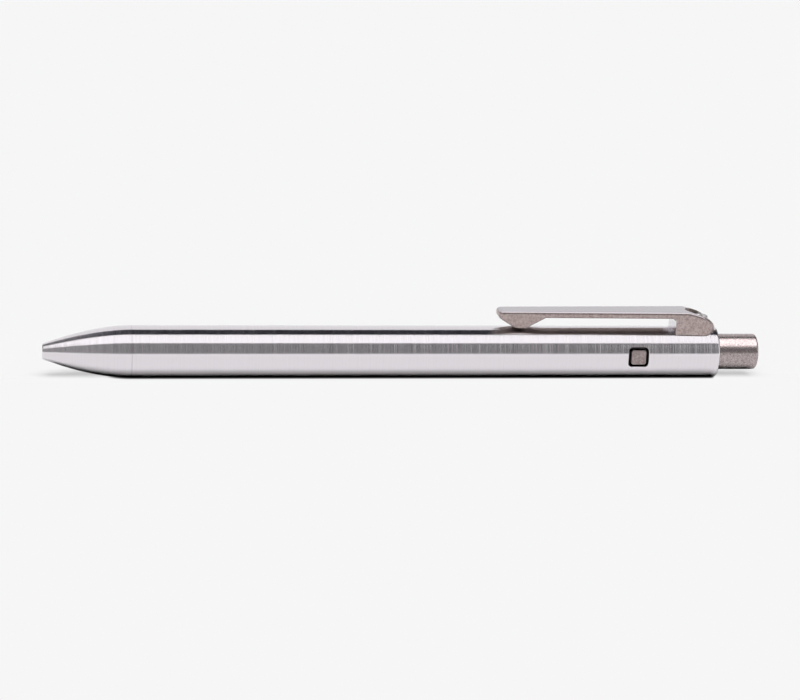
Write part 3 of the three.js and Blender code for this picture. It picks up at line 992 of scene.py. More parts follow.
@dataclass
class Casing(SubAssembly):
    """The barrel and the nose that screws into it. Lengths are in millimetres.

    Attributes:
        datum: The pen's own frame.
        facets: How many facets go round the barrel and the nose.
        seam_break: How far the edges at the seam are broken.
        bore: The radius of the barrel's bore.
        chamber: The radius of the chamber behind it, in which the plunger's flange slides.
        chamber_front, chamber_rear: The stations of the chamber's ends.
        guide: The radius of the hole that guides the plunger.
        rim_round: The round of the rear rim.
        guide_break: How far that hole's edge is broken.
        window_station: Where the window's middle is.
        window_length, window_height: The window's size.
        window_corner: The radius of its corners.
        window_break: How far its edge is broken.
        dwell_station: Where the turning tool stood still and left a mark.
        dwell_width, dwell_depth: The mark's width and depth.
        screw_station: The station of the hole for the clip's screw.
        screw_hole: The hole's radius.
        taper_degrees, taper_share: The slope of the nose at its tip, and how much of it is drawn along that.
        shoulder_share: How much of the nose is drawn along the barrel.
        tip_radius: The radius of the nose's open end.
        tip_hole, tip_hole_length: The radius and length of the hole in it.
        tip_break: How far the open end's edges are broken.
        spring_bore, spring_bore_rear: The radius of the return spring's bore, and the station of its rear.
        nose_bore, bore_lead: The radius of the bore behind it, and how far the step between them slopes.
        shank, shank_lead: The radius of the nose's shank, and the chamfer at its end.
        groove_offset: How far behind the seam the seal's groove starts.
        groove_width, groove_floor: The groove's width, and the radius of its floor.
        thread_run_in: How far behind the groove the thread starts.
        thread_pitch, thread_depth: The thread's pitch and depth.
        seal_middle, seal_section: The radius of the middle of the seal's section, and its thickness.
        seal_squeeze: How much longer than round it is, squeezed in its groove.
    """

    datum: Datum
    facets: int = 384
    seam_break: float = 0.04
    bore: float = 4.35
    chamber: float = 4.025
    chamber_front: float = 123.2
    chamber_rear: float = 130.5
    guide: float = 3.7
    rim_round: float = 0.5
    guide_break: float = 0.15
    window_station: float = 120.45
    window_length: float = 4.2
    window_height: float = 4.1
    window_corner: float = 0.9
    window_break: float = 0.09
    dwell_station: float = 133.45
    dwell_width: float = 0.16
    dwell_depth: float = 0.008
    screw_station: float = 133.3
    screw_hole: float = 1.28
    taper_degrees: float = 20.0
    taper_share: float = 0.2825
    shoulder_share: float = 0.35
    tip_radius: float = 1.55
    tip_hole: float = 1.25
    tip_hole_length: float = 5.0
    tip_break: float = 0.12
    spring_bore: float = 2.45
    spring_bore_rear: float = 9.4
    nose_bore: float = 3.25
    bore_lead: float = 0.6
    shank: float = 4.3
    shank_lead: float = 0.4
    groove_offset: float = 1.2
    groove_width: float = 1.0
    groove_floor: float = 3.59
    thread_run_in: float = 0.9
    thread_pitch: float = 0.75
    thread_depth: float = 0.38
    seal_middle: float = 3.97
    seal_section: float = 0.68
    seal_squeeze: float = 1.02

    def build(self) -> None:
        """Builds the barrel, the nose and its seal."""
        self.hand_over(self.barrel(), "barrel", BRIGHT_TURNED)
        self.hand_over(self.nose(), "nose_cone", BRIGHT_TURNED)
        self.hand_over(self.seal(), "nose_o_ring", NITRILE)

    def barrel(self) -> Piece:
        """Turns the barrel, then cuts the button's window and the hole for the clip's screw.

        Returns:
            The barrel.
        """
        span = self.datum.span("barrel")
        radius = span.radius
        piece = lathe(
            "barrel_tube",
            [
                (span.front, self.bore + self.seam_break),
                (span.front, radius - self.seam_break),
                (span.front + self.seam_break, radius),
                (self.window_station - self.window_length, radius),
                (self.window_station + self.window_length, radius),
                (self.dwell_station - self.dwell_width / 2, radius),
                (self.dwell_station, radius - self.dwell_depth),
                (self.dwell_station + self.dwell_width / 2, radius),
                *arc(span.rear - self.rim_round, radius - self.rim_round, self.rim_round, 90, 0, 8),
                (span.rear, self.guide + self.guide_break),
                (span.rear - self.guide_break, self.guide),
                (self.chamber_rear, self.guide),
                (self.chamber_rear, self.chamber),
                (self.chamber_front, self.chamber),
                (self.chamber_front, self.bore),
                (span.front + self.seam_break, self.bore),
            ],
            self.facets,
        )
        worked(piece, self.window_tool(radius))
        hole = lathe("hole", [(0, 0), (0, self.screw_hole), (2 * radius, self.screw_hole), (2 * radius, 0)], 64, False)
        return worked(piece, shifted(quarter_turned(hole, "Y"), x=self.screw_station))

    def window_tool(self, radius: float) -> Piece:
        """Makes the cutter of the window, whose mouth is broken where it meets the barrel's skin.

        Args:
            radius: The barrel's radius.

        Returns:
            The cutter.
        """
        x = self.window_length / 2 - self.window_corner
        z = self.window_height / 2 - self.window_corner
        side = [z * (1 - i / 4) for i in range(1, 8)]

        def ring(grow: float, depth: float, flat: bool = False) -> list[tuple[float, float, float]]:
            """Draws the window's outline, flat or round the barrel.

            Args:
                grow: How much wider than the window it is.
                depth: How far from the axis it lies.
                flat: Whether it is flat.

            Returns:
                Its points.
            """
            corner = self.window_corner + grow
            outline = [
                *arc(x, z, corner, 0, 90),
                *arc(-x, z, corner, 90, 180),
                *[(-x - corner, height) for height in side],
                *arc(-x, -z, corner, 180, 270),
                *arc(x, -z, corner, 270, 360),
                *[(x + corner, -height) for height in side],
            ]
            return [(a, -depth if flat else -math.sqrt(depth**2 - b**2), b) for a, b in outline]

        edge = self.window_break
        rings = [ring(0, self.bore / 2, True), ring(0, radius - edge), ring(edge, radius)]
        rings.append(ring(4 * edge, radius + 3 * edge))
        return shifted(lofted("cutter", rings), x=self.window_station)

    def nose(self) -> Piece:
        """Turns the nose and cuts the thread on its shank.

        Returns:
            The nose.
        """
        span = self.datum.span("nose_cone")
        skin = self.datum.span("barrel")
        seam = skin.front
        taper = self.taper_share * seam
        rise = taper * math.tan(math.radians(self.taper_degrees))
        bullet = bezier(
            [
                (0, self.tip_radius),
                (taper, self.tip_radius + rise),
                (seam - self.shoulder_share * seam, skin.radius),
                (seam, skin.radius),
            ],
            72,
        )
        bullet = [point for point in bullet if self.tip_break < point[0] < seam - self.seam_break]
        groove = seam + self.groove_offset
        piece = lathe(
            "bullet_nose",
            [
                (self.tip_break / 2, self.tip_hole),
                (0, self.tip_hole + self.tip_break / 2),
                (0, self.tip_radius - self.tip_break),
                (self.tip_break / 3, self.tip_radius - self.tip_break / 3),
                *bullet,
                (seam - self.seam_break, skin.radius),
                (seam, skin.radius - self.seam_break),
                (seam, self.shank),
                (groove, self.shank),
                (groove, self.groove_floor),
                (groove + self.groove_width, self.groove_floor),
                (groove + self.groove_width, self.shank),
                (span.rear - self.shank_lead, self.shank),
                (span.rear, self.shank - self.shank_lead),
                (span.rear, self.nose_bore),
                (self.spring_bore_rear + self.bore_lead, self.nose_bore),
                (self.spring_bore_rear, self.spring_bore),
                (self.tip_hole_length, self.spring_bore),
                (self.tip_hole_length, self.tip_hole),
            ],
            self.facets,
        )
        start = groove + self.groove_width + self.thread_run_in
        return threaded(piece, start, span.rear, self.shank, self.thread_pitch, self.thread_depth)

    def seal(self) -> Piece:
        """Makes the seal ring, a torus pressed a little wider by its groove.

        Returns:
            The seal ring.
        """
        span = self.datum.span("nose_o_ring")
        pick_none()
        bpy.ops.mesh.primitive_torus_add(
            major_segments=128,
            minor_segments=24,
            major_radius=self.seal_middle,
            minor_radius=self.seal_section / 2,
            rotation=(0, math.pi / 2, 0),
        )
        piece = named("shank_seal")
        bpy.ops.object.transform_apply(location=False, rotation=True, scale=False)
        with editing(piece, Part.VERTS):
            bpy.ops.mesh.select_all(action="SELECT")
            bpy.ops.transform.resize(value=(self.seal_squeeze, 1, 1), center_override=(0, 0, 0))
        return shifted(piece, x=(span.front + span.rear) / 2)


@dataclass
class PocketClip(SubAssembly):
    """The one-piece clip and its screw. Lengths are in millimetres, heights from the pen's axis.

    Attributes:
        datum: The pen's own frame.
        arm: The arm's thickness.
        tip_width, root_width: The clip's width at its tip and at its root.
        chamfer, under_chamfer: How far the upper and the lower edges are broken.
        edge_round: How soft the arrises of the upper chamfer are, up to 0.7 of it.
        tip_corner: The radius of the tip's corners.
        tip_break_share: How many times further the tip's upper edge is broken.
        tip_under: The height of the tip's lower edge.
        foot_start, foot_length: How far the foot's flat lies behind the tip, and the flat's length.
        foot_gap: The gap between the foot and the barrel.
        foot_rear_run: How far the foot's rear slope runs.
        slot_round: The round at the end of the slot under the arm.
        root_length: The root's length.
        slope_length, rear_height: The length of the sloped rear, and the height of its lower end.
        slope_run_share, slope_drop_share: How far along and down the slope its bend lies.
        rear_run: The length of the round rear, seen from above.
        saddle_gap, saddle_break: The saddle's clearance, and how far its outer edges are broken.
        screw_station: The station of the screw.
        recess, recess_floor: The radius of its recess, and the height of the recess's floor.
        screw_hole, screw_seat: The radius of the screw's hole, and the height of the head's underside.
        head, head_height: The head's radius and height.
        head_break: How far the screw's edges are broken.
        thread, thread_end: The radius of its threaded part, and the height of its lower end.
        socket_flats, socket_depth: The socket's size across flats, and its depth.
        socket_mouth: How far its mouth is widened.
    """

    datum: Datum
    arm: float = 1.28
    tip_width: float = 5.0
    root_width: float = 6.9
    chamfer: float = 0.34
    under_chamfer: float = 0.14
    edge_round: float = 0.235
    tip_corner: float = 0.9
    tip_break_share: float = 1.25
    tip_under: float = 7.52
    foot_start: float = 3.35
    foot_length: float = 2.1
    foot_gap: float = 0.15
    foot_rear_run: float = 4.1
    slot_round: float = 1.0
    root_length: float = 8.8
    slope_length: float = 6.4
    rear_height: float = 5.4
    slope_run_share: float = 0.8
    slope_drop_share: float = 0.24
    rear_run: float = 2.9
    saddle_gap: float = 0.03
    saddle_break: float = 0.14
    screw_station: float = 133.3
    recess: float = 2.5
    recess_floor: float = 6.35
    screw_hole: float = 1.4
    screw_seat: float = 6.38
    head: float = 2.25
    head_height: float = 1.3
    head_break: float = 0.15
    thread: float = 1.25
    thread_end: float = 3.82
    socket_flats: float = 2.0
    socket_depth: float = 0.8
    socket_mouth: float = 0.16

    def build(self) -> None:
        """Builds the clip and its screw."""
        clip = self.hand_over(self.clip(), "clip", TUMBLED, sharp=32.0)
        # Painted shade: the recess and the clip's underside get a darker colour.
        self.dress(clip, self.in_recess, CUT_IN_PAINTED_SHADE)
        self.dress(clip, lambda face: face.normal.z < -UNDERSIDE, CUT_IN_PAINTED_SHADE)
        self.dress(clip, self.across_root, END_MILLED)
        self.hand_over(self.screw(), "clip_screw", SCREW)

    def in_recess(self, face: Any) -> bool:
        """Tells whether a face belongs to the screw's recess.

        Args:
            face: A face of the finished clip.

        Returns:
            Whether it does.
        """
        middle = self.datum.nose_x + self.screw_station * MM
        seat = self.datum.axis_z + self.recess_floor * MM
        return all(
            math.hypot(vert.co.x - middle, vert.co.y) < (self.recess + WELD) * MM and vert.co.z > seat - WELD * MM
            for vert in face.verts
        )

    def across_root(self, face: Any) -> bool:
        """Tells whether a face is a wall across the root that looks to the tip, in the slot or in the recess.

        Args:
            face: A face of the finished clip.

        Returns:
            Whether it is.
        """
        root = self.datum.nose_x + (self.screw_station - self.root_length) * MM
        return face.normal.x < -ACROSS and all(vert.co.x > root for vert in face.verts)

    def half_plan(self, span: Span) -> Outline:
        """Draws one side of the clip from above: round tip corner, tapered side, half of the round rear.

        Args:
            span: The clip's space.

        Returns:
            Stations and widths, from the tip to just beside the middle of the rear.
        """
        side_end = span.rear - self.rear_run
        slope_start = span.rear - self.slope_length
        tip_half, root_half = self.tip_width / 2, self.root_width / 2
        corner = arc(span.front + self.tip_corner, tip_half - self.tip_corner, self.tip_corner, 180, 90, 8)
        grown = (root_half - tip_half) / (side_end - span.front - self.tip_corner)
        steps = [slope_start + (side_end - slope_start) * i / 8 for i in range(8)]
        side = [(s, tip_half + grown * (s - span.front - self.tip_corner)) for s in steps]
        rear = [
            (side_end + self.rear_run * math.sin(math.radians(a)), root_half * math.cos(math.radians(a)))
            for a in range(0, 89, 4)
        ]
        return corner + side + rear

    def top(self, span: Span, station: float) -> float:
        """Finds the height of the clip's top.

        Args:
            span: The clip's space.
            station: The station.

        Returns:
            The height, level along the arm and falling ever more steeply to the rear.
        """
        start = span.rear - self.slope_length
        if station <= start:
            return span.top
        drop = span.top - self.rear_height
        run = (station - start) / self.slope_length
        bend = self.slope_run_share
        t = (-bend + math.sqrt(bend**2 + (1 - 2 * bend) * run)) / (1 - 2 * bend)
        return span.top - drop * (2 * t * (1 - t) * self.slope_drop_share + t**2)

    def break_steps(self) -> Outline:
        """Draws the section of the broken upper edge, a chamfer whose arrises tumbling has softened.

        Returns:
            How far in and how far down each step of the edge lies, from the wall to the top.
        """
        size, soft = self.chamfer, self.edge_round
        slant = soft * math.sqrt(0.5)
        wall = bezier([(0, size + soft), (0, size), (slant, size - slant)], 5)
        return wall + [(down, inward) for inward, down in reversed(wall)]

    def clip(self) -> Piece:
        """Mills the clip: body with broken upper edges, the space under the arm, saddle and screw recess.

        Returns:
            The clip.
        """
        span = self.datum.span("clip")
        skin = self.datum.span("barrel").radius
        half = self.half_plan(span)
        whole = [(s, -w) for s, w in half] + [(s, w) for s, w in reversed(half)]
        rings = [[(s, w, skin / 2) for s, w in whole]]
        for inward, down in self.break_steps():
            ring = []
            for (s0, w0), (s, w), (s1, w1) in zip(whole[-1:] + whole[:-1], whole, whole[1:] + whole[:1]):
                before, here, after = Vector((s0, w0)), Vector((s, w)), Vector((s1, w1))
                along = (after - here).normalized() + (here - before).normalized()
                inner = Vector((-along.y, along.x)).normalized()
                grow = 1 + (self.tip_break_share - 1) * max(inner.x, 0) ** 2 * (s < span.front + self.tip_corner)
                place = here + inner * inward * grow
                ring.append((place.x, place.y, self.top(span, place.x) - down * grow))
            rings.append(ring)
        piece = lofted("pocket_clip", rings, caps=False)
        count = len(half)
        with editing(piece, Part.VERTS):
            select(piece, Part.VERTS, near(rings[0]))
            bpy.ops.mesh.edge_face_add()
            for i in range(count - 1):
                bpy.ops.mesh.select_all(action="DESELECT")
                last = rings[-1]
                corners = [last[i], last[i + 1], last[-1 - i], last[-2 - i]]
                select(piece, Part.VERTS, near(corners))
                bpy.ops.mesh.edge_face_add()
        tidied(piece)
        worked(piece, self.under_arm(span, skin))

        def under_edge(edge: Any) -> bool:
            """Tells whether an edge runs between a side wall and the underside.

            Args:
                edge: An edge of the clip.

            Returns:
                Whether it does.
            """
            if len(edge.link_faces) != 2:
                return False
            wall, under = sorted(edge.link_faces, key=lambda face: face.normal.z, reverse=True)
            low = min(vert.co.z for vert in edge.verts)
            clear = low > skin / 2 + self.foot_gap
            return abs(wall.normal.z) < UPRIGHT and under.normal.z < -LOOKS_DOWN and clear

        bevelled(piece, under_edge, self.under_chamfer, 1)
        saddle = skin + self.saddle_gap
        near_skin = self.saddle_gap / 3
        reach = span.rear + self.root_width
        worked(piece, lathe("saddle", [(0, 0), (0, saddle), (reach, saddle), (reach, 0)], 256, False))
        recess = lathe(
            "recess",
            [
                (0, 0),
                (0, self.screw_hole),
                (self.recess_floor, self.screw_hole),
                (self.recess_floor, self.recess),
                (2 * span.top, self.recess),
                (2 * span.top, 0),
            ],
            96,
            False,
        )
        worked(piece, shifted(quarter_turned(recess, "Y"), x=self.screw_station))

        def saddle_edge(edge: Any) -> bool:
            """Tells whether an edge runs between an outer wall and the saddle.

            Args:
                edge: An edge of the clip.

            Returns:
                Whether it does.
            """
            if len(edge.link_faces) != 2:
                return False
            wall, seat = sorted(edge.link_faces, key=lambda face: face.normal.z, reverse=True)
            on_skin = all(abs(math.hypot(vert.co.y, vert.co.z) - saddle) < near_skin for vert in edge.verts)
            outside = all(abs(vert.co.y) > self.recess for vert in edge.verts)
            return abs(wall.normal.z) < UPRIGHT and seat.normal.z < -LOOKS_DOWN and on_skin and outside

        return bevelled(piece, saddle_edge, self.saddle_break, 1)

    def under_arm(self, span: Span, skin: float) -> Piece:
        """Makes the cutter for the space under the arm, before and behind the foot.

        Args:
            span: The clip's space.
            skin: The barrel's radius.

        Returns:
            The cutter.
        """
        tip, under, foot = span.front, span.top - self.arm, skin + self.foot_gap
        foot_end = tip + self.foot_start + self.foot_length
        slot_end = span.rear - self.root_length
        front = tip - self.arm
        outline = [
            (front, 0),
            (slot_end, 0),
            *arc(slot_end - self.slot_round, under - self.slot_round, self.slot_round, 0, 90, 12),
            (foot_end + self.foot_rear_run, under),
            (foot_end, foot),
            (tip + self.foot_start, foot),
            (tip, self.tip_under),
            (front, self.tip_under),
        ]
        wide = self.root_width
        return slab("under_arm", [(a, -wide, b) for a, b in outline], (0, 2 * wide, 0))

    def screw(self) -> Piece:
        """Turns the screw and broaches its socket.

        Returns:
            The screw.
        """
        top = self.screw_seat + self.head_height
        piece = lathe(
            "socket_screw",
            [
                (self.thread_end, 0),
                (self.thread_end, self.thread - self.head_break),
                (self.thread_end + self.head_break, self.thread),
                (self.screw_seat, self.thread),
                (self.screw_seat, self.head),
                *arc(top - self.head_break, self.head - self.head_break, self.head_break, 90, 0, 4),
                (top, 0),
            ],
            96,
            False,
        )
        flats = self.socket_flats / 2 / math.cos(math.pi / 6)
        bpy.ops.mesh.primitive_cylinder_add(
            vertices=6,
            radius=flats,
            depth=2 * self.socket_depth,
            location=(top, 0, 0),
            rotation=(0, math.pi / 2, 0),
        )
        hexagon = named("hexagon")
        bpy.ops.object.transform_apply(location=True, rotation=True, scale=True)
        worked(piece, hexagon)
        mouth = flats + self.socket_mouth
        cone = lathe("cone", [(top - mouth, 0), (top + mouth, 2 * mouth), (top + mouth, 0)], 48, False)
        worked(piece, cone)
        return shifted(quarter_turned(piece, "Y"), x=self.screw_station)


@dataclass
class Plunger(SubAssembly):
    """The plunger that the thumb presses, its stem and the cup for the refill's tail. Lengths are in millimetres.

    Attributes:
        datum: The pen's own frame.
        facets: How many facets go round the head.
        flange_length: The length of the stop flange.
        end_round: The round of the end that the thumb presses.
        head_radius: The head's radius.
        stem_hole, stem_hole_depth: The radius of the screwed holes, and the depth of the one in the head.
        stem_screw, stem: The radius of the stem's screwed ends, and the stem's.
        front_screw_length, rear_screw_length: The lengths of its screwed ends.
        groove_front, groove_rear: The stations of the latch groove's ends.
        groove_floor, groove_lead: The radius of its floor, and how far its rear wall slopes.
        edge_break: How far edges are broken.
        cup_bore, cup_lead, cup_depth: The radius of the cup's bore, the chamfer at its mouth and its depth.
    """

    datum: Datum
    facets: int = 256
    flange_length: float = 1.2
    end_round: float = 0.5
    head_radius: float = 3.65
    stem_hole: float = 1.5
    stem_hole_depth: float = 6.0
    stem_screw: float = 1.45
    stem: float = 2.0
    front_screw_length: float = 1.7
    rear_screw_length: float = 5.5
    groove_front: float = 124.35
    groove_rear: float = 127.55
    groove_floor: float = 1.3
    groove_lead: float = 0.5
    edge_break: float = 0.12
    cup_bore: float = 3.1
    cup_lead: float = 0.3
    cup_depth: float = 3.9

    def build(self) -> None:
        """Builds the head, the stem and the cup."""
        self.hand_over(self.head(), "plunger_head", TUMBLED_ROUND)
        self.hand_over(self.stem_rod(), "plunger_stem", GROUND)
        self.hand_over(self.cup(), "refill_cup", TURNED_BRASS)

    def head(self) -> Piece:
        """Turns the head with its stop flange and the screwed hole for the stem.

        Returns:
            The head.
        """
        span = self.datum.span("plunger_head")
        depth = span.front + self.stem_hole_depth
        return lathe(
            "click_plunger",
            [
                (depth + self.stem_hole / 2, 0),
                (depth, self.stem_hole),
                (span.front + self.edge_break, self.stem_hole),
                (span.front, self.stem_hole + self.edge_break),
                (span.front, span.radius - self.edge_break),
                (span.front + self.edge_break, span.radius),
                (span.front + self.flange_length, span.radius),
                (span.front + self.flange_length, self.head_radius),
                *arc(span.rear - self.end_round, self.head_radius - self.end_round, self.end_round, 90, 0, 10),
                (span.rear, 0),
            ],
            self.facets,
            False,
        )

    def stem_rod(self) -> Piece:
        """Turns the stem with the groove that the latch drops into.

        Returns:
            The stem.
        """
        span = self.datum.span("plunger_stem")
        front = span.front + self.front_screw_length
        rear = span.rear - self.rear_screw_length
        cut = self.edge_break
        return lathe(
            "latch_stem",
            [
                (span.front, 0),
                (span.front, self.stem_screw - cut),
                (span.front + cut, self.stem_screw),
                (front, self.stem_screw),
                (front, self.stem - cut),
                (front + cut, self.stem),
                (self.groove_front, self.stem),
                (self.groove_front, self.groove_floor),
                (self.groove_rear, self.groove_floor),
                (self.groove_rear + self.groove_lead, self.stem),
                (rear, self.stem),
                (rear, self.stem_screw),
                (span.rear - cut, self.stem_screw),
                (span.rear, self.stem_screw - cut),
                (span.rear, 0),
            ],
            128,
            False,
        )

    def cup(self) -> Piece:
        """Turns the cup, open to the front.

        Returns:
            The cup.
        """
        span = self.datum.span("refill_cup")
        floor = span.front + self.cup_depth
        return lathe(
            "tail_cup",
            [
                (span.front, self.cup_bore + self.cup_lead),
                (span.front, span.radius - self.edge_break),
                (span.front + self.edge_break, span.radius),
                (span.rear - self.edge_break, span.radius),
                (span.rear, span.radius - self.edge_break),
                (span.rear, self.stem_hole),
                (floor, self.stem_hole),
                (floor, self.cup_bore),
                (span.front + self.cup_lead, self.cup_bore),
            ],
            128,
        )


@dataclass
class SideLatch(SubAssembly):
    """The button in the barrel's side and the latch behind it. Lengths are in millimetres.

    Attributes:
        datum: The pen's own frame.
        button_seat: How far from the axis the button sits on the slide.
        button_corner, button_edge: The radius of its corners, and the round of its face's edge.
        peg, peg_length: The radius of the peg that joins it to the slide, and how far it goes in.
        stem_hole: The radius of the holes for the stem.
        slide_slot_length, slide_slot_height: The size of the slot for the slide, along the pen and upright.
        travel: How far the button goes in.
        pocket, pocket_depth: The radius and depth of the spring's pocket.
        ring_bore: The radius of the ring's bore.
        spanner_width, spanner_depth: The width and depth of the slots for a pin spanner.
        edge_break: How far edges are broken.
        spring_wire, spring_coil: The diameter of the spring's wire, and the radius of its middle.
        spring_turns: How many turns it has between its closed ends.
    """

    datum: Datum
    button_seat: float = 3.3
    button_corner: float = 0.5
    button_edge: float = 0.22
    peg: float = 0.8
    peg_length: float = 0.5
    stem_hole: float = 2.05
    slide_slot_length: float = 3.1
    slide_slot_height: float = 5.5
    travel: float = 0.5
    pocket: float = 1.0
    pocket_depth: float = 0.9
    ring_bore: float = 2.6
    spanner_width: float = 0.9
    spanner_depth: float = 0.7
    edge_break: float = 0.1
    spring_wire: float = 0.2
    spring_coil: float = 0.75
    spring_turns: float = 1.0

    def build(self) -> None:
        """Builds the button, the slide, its spring, the guide block and its ring."""
        self.hand_over(self.button(), "release_button", WORN, sharp=50.0)
        self.hand_over(self.slide(), "latch_slide", GROUND)
        # The guide block is black as painted shade in the gap round the button.
        self.hand_over(self.guide_block(), "latch_block", BLACK_AS_GAP_SHADE)
        self.hand_over(self.ring(), "lock_ring", TURNED_BRASS)
        self.hand_over(self.spring(), "latch_spring", DRAWN_WIRE, sharp=60.0)

    def button(self) -> Piece:
        """Mills the button's head from a block with round corners and worn edges, and joins its peg.

        Returns:
            The button.
        """
        span = self.datum.span("release_button")
        low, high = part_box("release_button")
        face = -low.y / MM
        length, height = span.rear - span.front, 2 * span.top
        middle = (span.front + span.rear) / 2
        piece = block("side_button", (length, face - self.button_seat, height), (0, -(face + self.button_seat) / 2, 0))

        def along(edge: Any, axis: int) -> bool:
            """Tells whether an edge runs along an axis."""
            way = edge.verts[1].co - edge.verts[0].co
            return abs(way[axis]) > ALONG * way.length

        bevelled(piece, lambda edge: along(edge, 1), self.button_corner, 8)
        bevelled(
            piece,
            lambda edge: all(vert.co.y < -face + WELD for vert in edge.verts),
            self.button_edge,
            5,
        )
        length = 2 * self.peg_length
        peg = lathe("peg", [(0, 0), (0, self.peg), (length, self.peg), (length, 0)], 64, False)
        peg = shifted(quarter_turned(peg, "Z"), y=high.y / MM - length)
        worked(piece, peg, Cut.JOINED)
        return shifted(piece, x=middle)

    def slide(self) -> Piece:
        """Mills the slide: a plate with round ends, the eye round the stem, the button's seat and a spring pocket.

        Returns:
            The slide.
        """
        span = self.datum.span("latch_slide")
        low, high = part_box("latch_slide")
        thick, wide = span.rear - span.front, 2 * span.top
        back = high.y / MM
        seat = -low.y / MM
        middle = (span.front + span.rear) / 2
        piece = block("sliding_latch", (thick, back + seat, wide), (0, (back - seat) / 2, 0))
        round_end = lathe("round_end", [(-thick, 0), (-thick, back), (thick, back), (thick, 0)], 192, False)
        worked(piece, round_end, Cut.SHARED)
        for shift in (0.0, -self.travel):
            eye = lathe(
                "eye",
                [(-thick, 0), (-thick, self.stem_hole), (thick, self.stem_hole), (thick, 0)],
                96,
                False,
            )
            worked(piece, shifted(eye, y=shift))
        worked(piece, block("between", (2 * thick, self.travel, 2 * self.stem_hole), (0, -self.travel / 2, 0)))
        pocket = lathe("pocket", [(0, 0), (0, self.pocket), (seat, self.pocket), (seat, 0)], 64, False)
        worked(piece, shifted(quarter_turned(pocket, "Z"), y=back - self.pocket_depth))
        peg_hole = lathe("peg_hole", [(-seat, 0), (-seat, self.peg), (0, self.peg), (0, 0)], 64, False)
        worked(piece, shifted(quarter_turned(peg_hole, "Z"), y=-seat + self.peg_length))
        return shifted(piece, x=middle)

    def guide_block(self) -> Piece:
        """Turns the guide block and mills the slot for the slide through it.

        Returns:
            The guide block.
        """
        span = self.datum.span("latch_block")
        cut = self.edge_break
        piece = lathe(
            "guide_block",
            [
                (span.front, self.stem_hole + cut),
                (span.front, span.radius - cut),
                (span.front + cut, span.radius),
                (span.rear - cut, span.radius),
                (span.rear, span.radius - cut),
                (span.rear, self.stem_hole + cut),
                (span.rear - cut, self.stem_hole),
                (span.front + cut, self.stem_hole),
            ],
        )
        slide = self.datum.span("latch_slide")
        slot = (self.slide_slot_length, 4 * span.radius, self.slide_slot_height)
        return worked(piece, block("slot", slot, ((slide.front + slide.rear) / 2, 0, 0)))

    def ring(self) -> Piece:
        """Turns the ring that holds the block, with two slots for a pin spanner.

        Returns:
            The ring.
        """
        span = self.datum.span("lock_ring")
        cut = self.edge_break
        piece = lathe(
            "retaining_ring",
            [
                (span.front, self.ring_bore),
                (span.front, span.radius - cut),
                (span.front + cut, span.radius),
                (span.rear - cut, span.radius),
                (span.rear, span.radius - cut),
                (span.rear, self.ring_bore),
            ],
        )
        slots = (2 * self.spanner_depth, 4 * span.radius, self.spanner_width)
        return worked(piece, block("slots", slots, (span.front, 0, 0)))

    def spring(self) -> Piece:
        """Winds the spring behind the slide, which shortens as the button goes in.

        Returns:
            The spring.
        """
        low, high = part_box("latch_spring")
        slide = self.datum.span("latch_slide")
        middle = (slide.front + slide.rear) / 2
        start, end = low.y / MM, high.y / MM
        piece = coil("button_spring", self.spring_coil, self.spring_wire, start, end, self.spring_turns)
        return shifted(quarter_turned(piece, "Z"), x=middle)

    def squashed(self) -> None:
        """Gives the latch spring a mesh of its own."""
        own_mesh(bpy.data.objects["button_spring"])


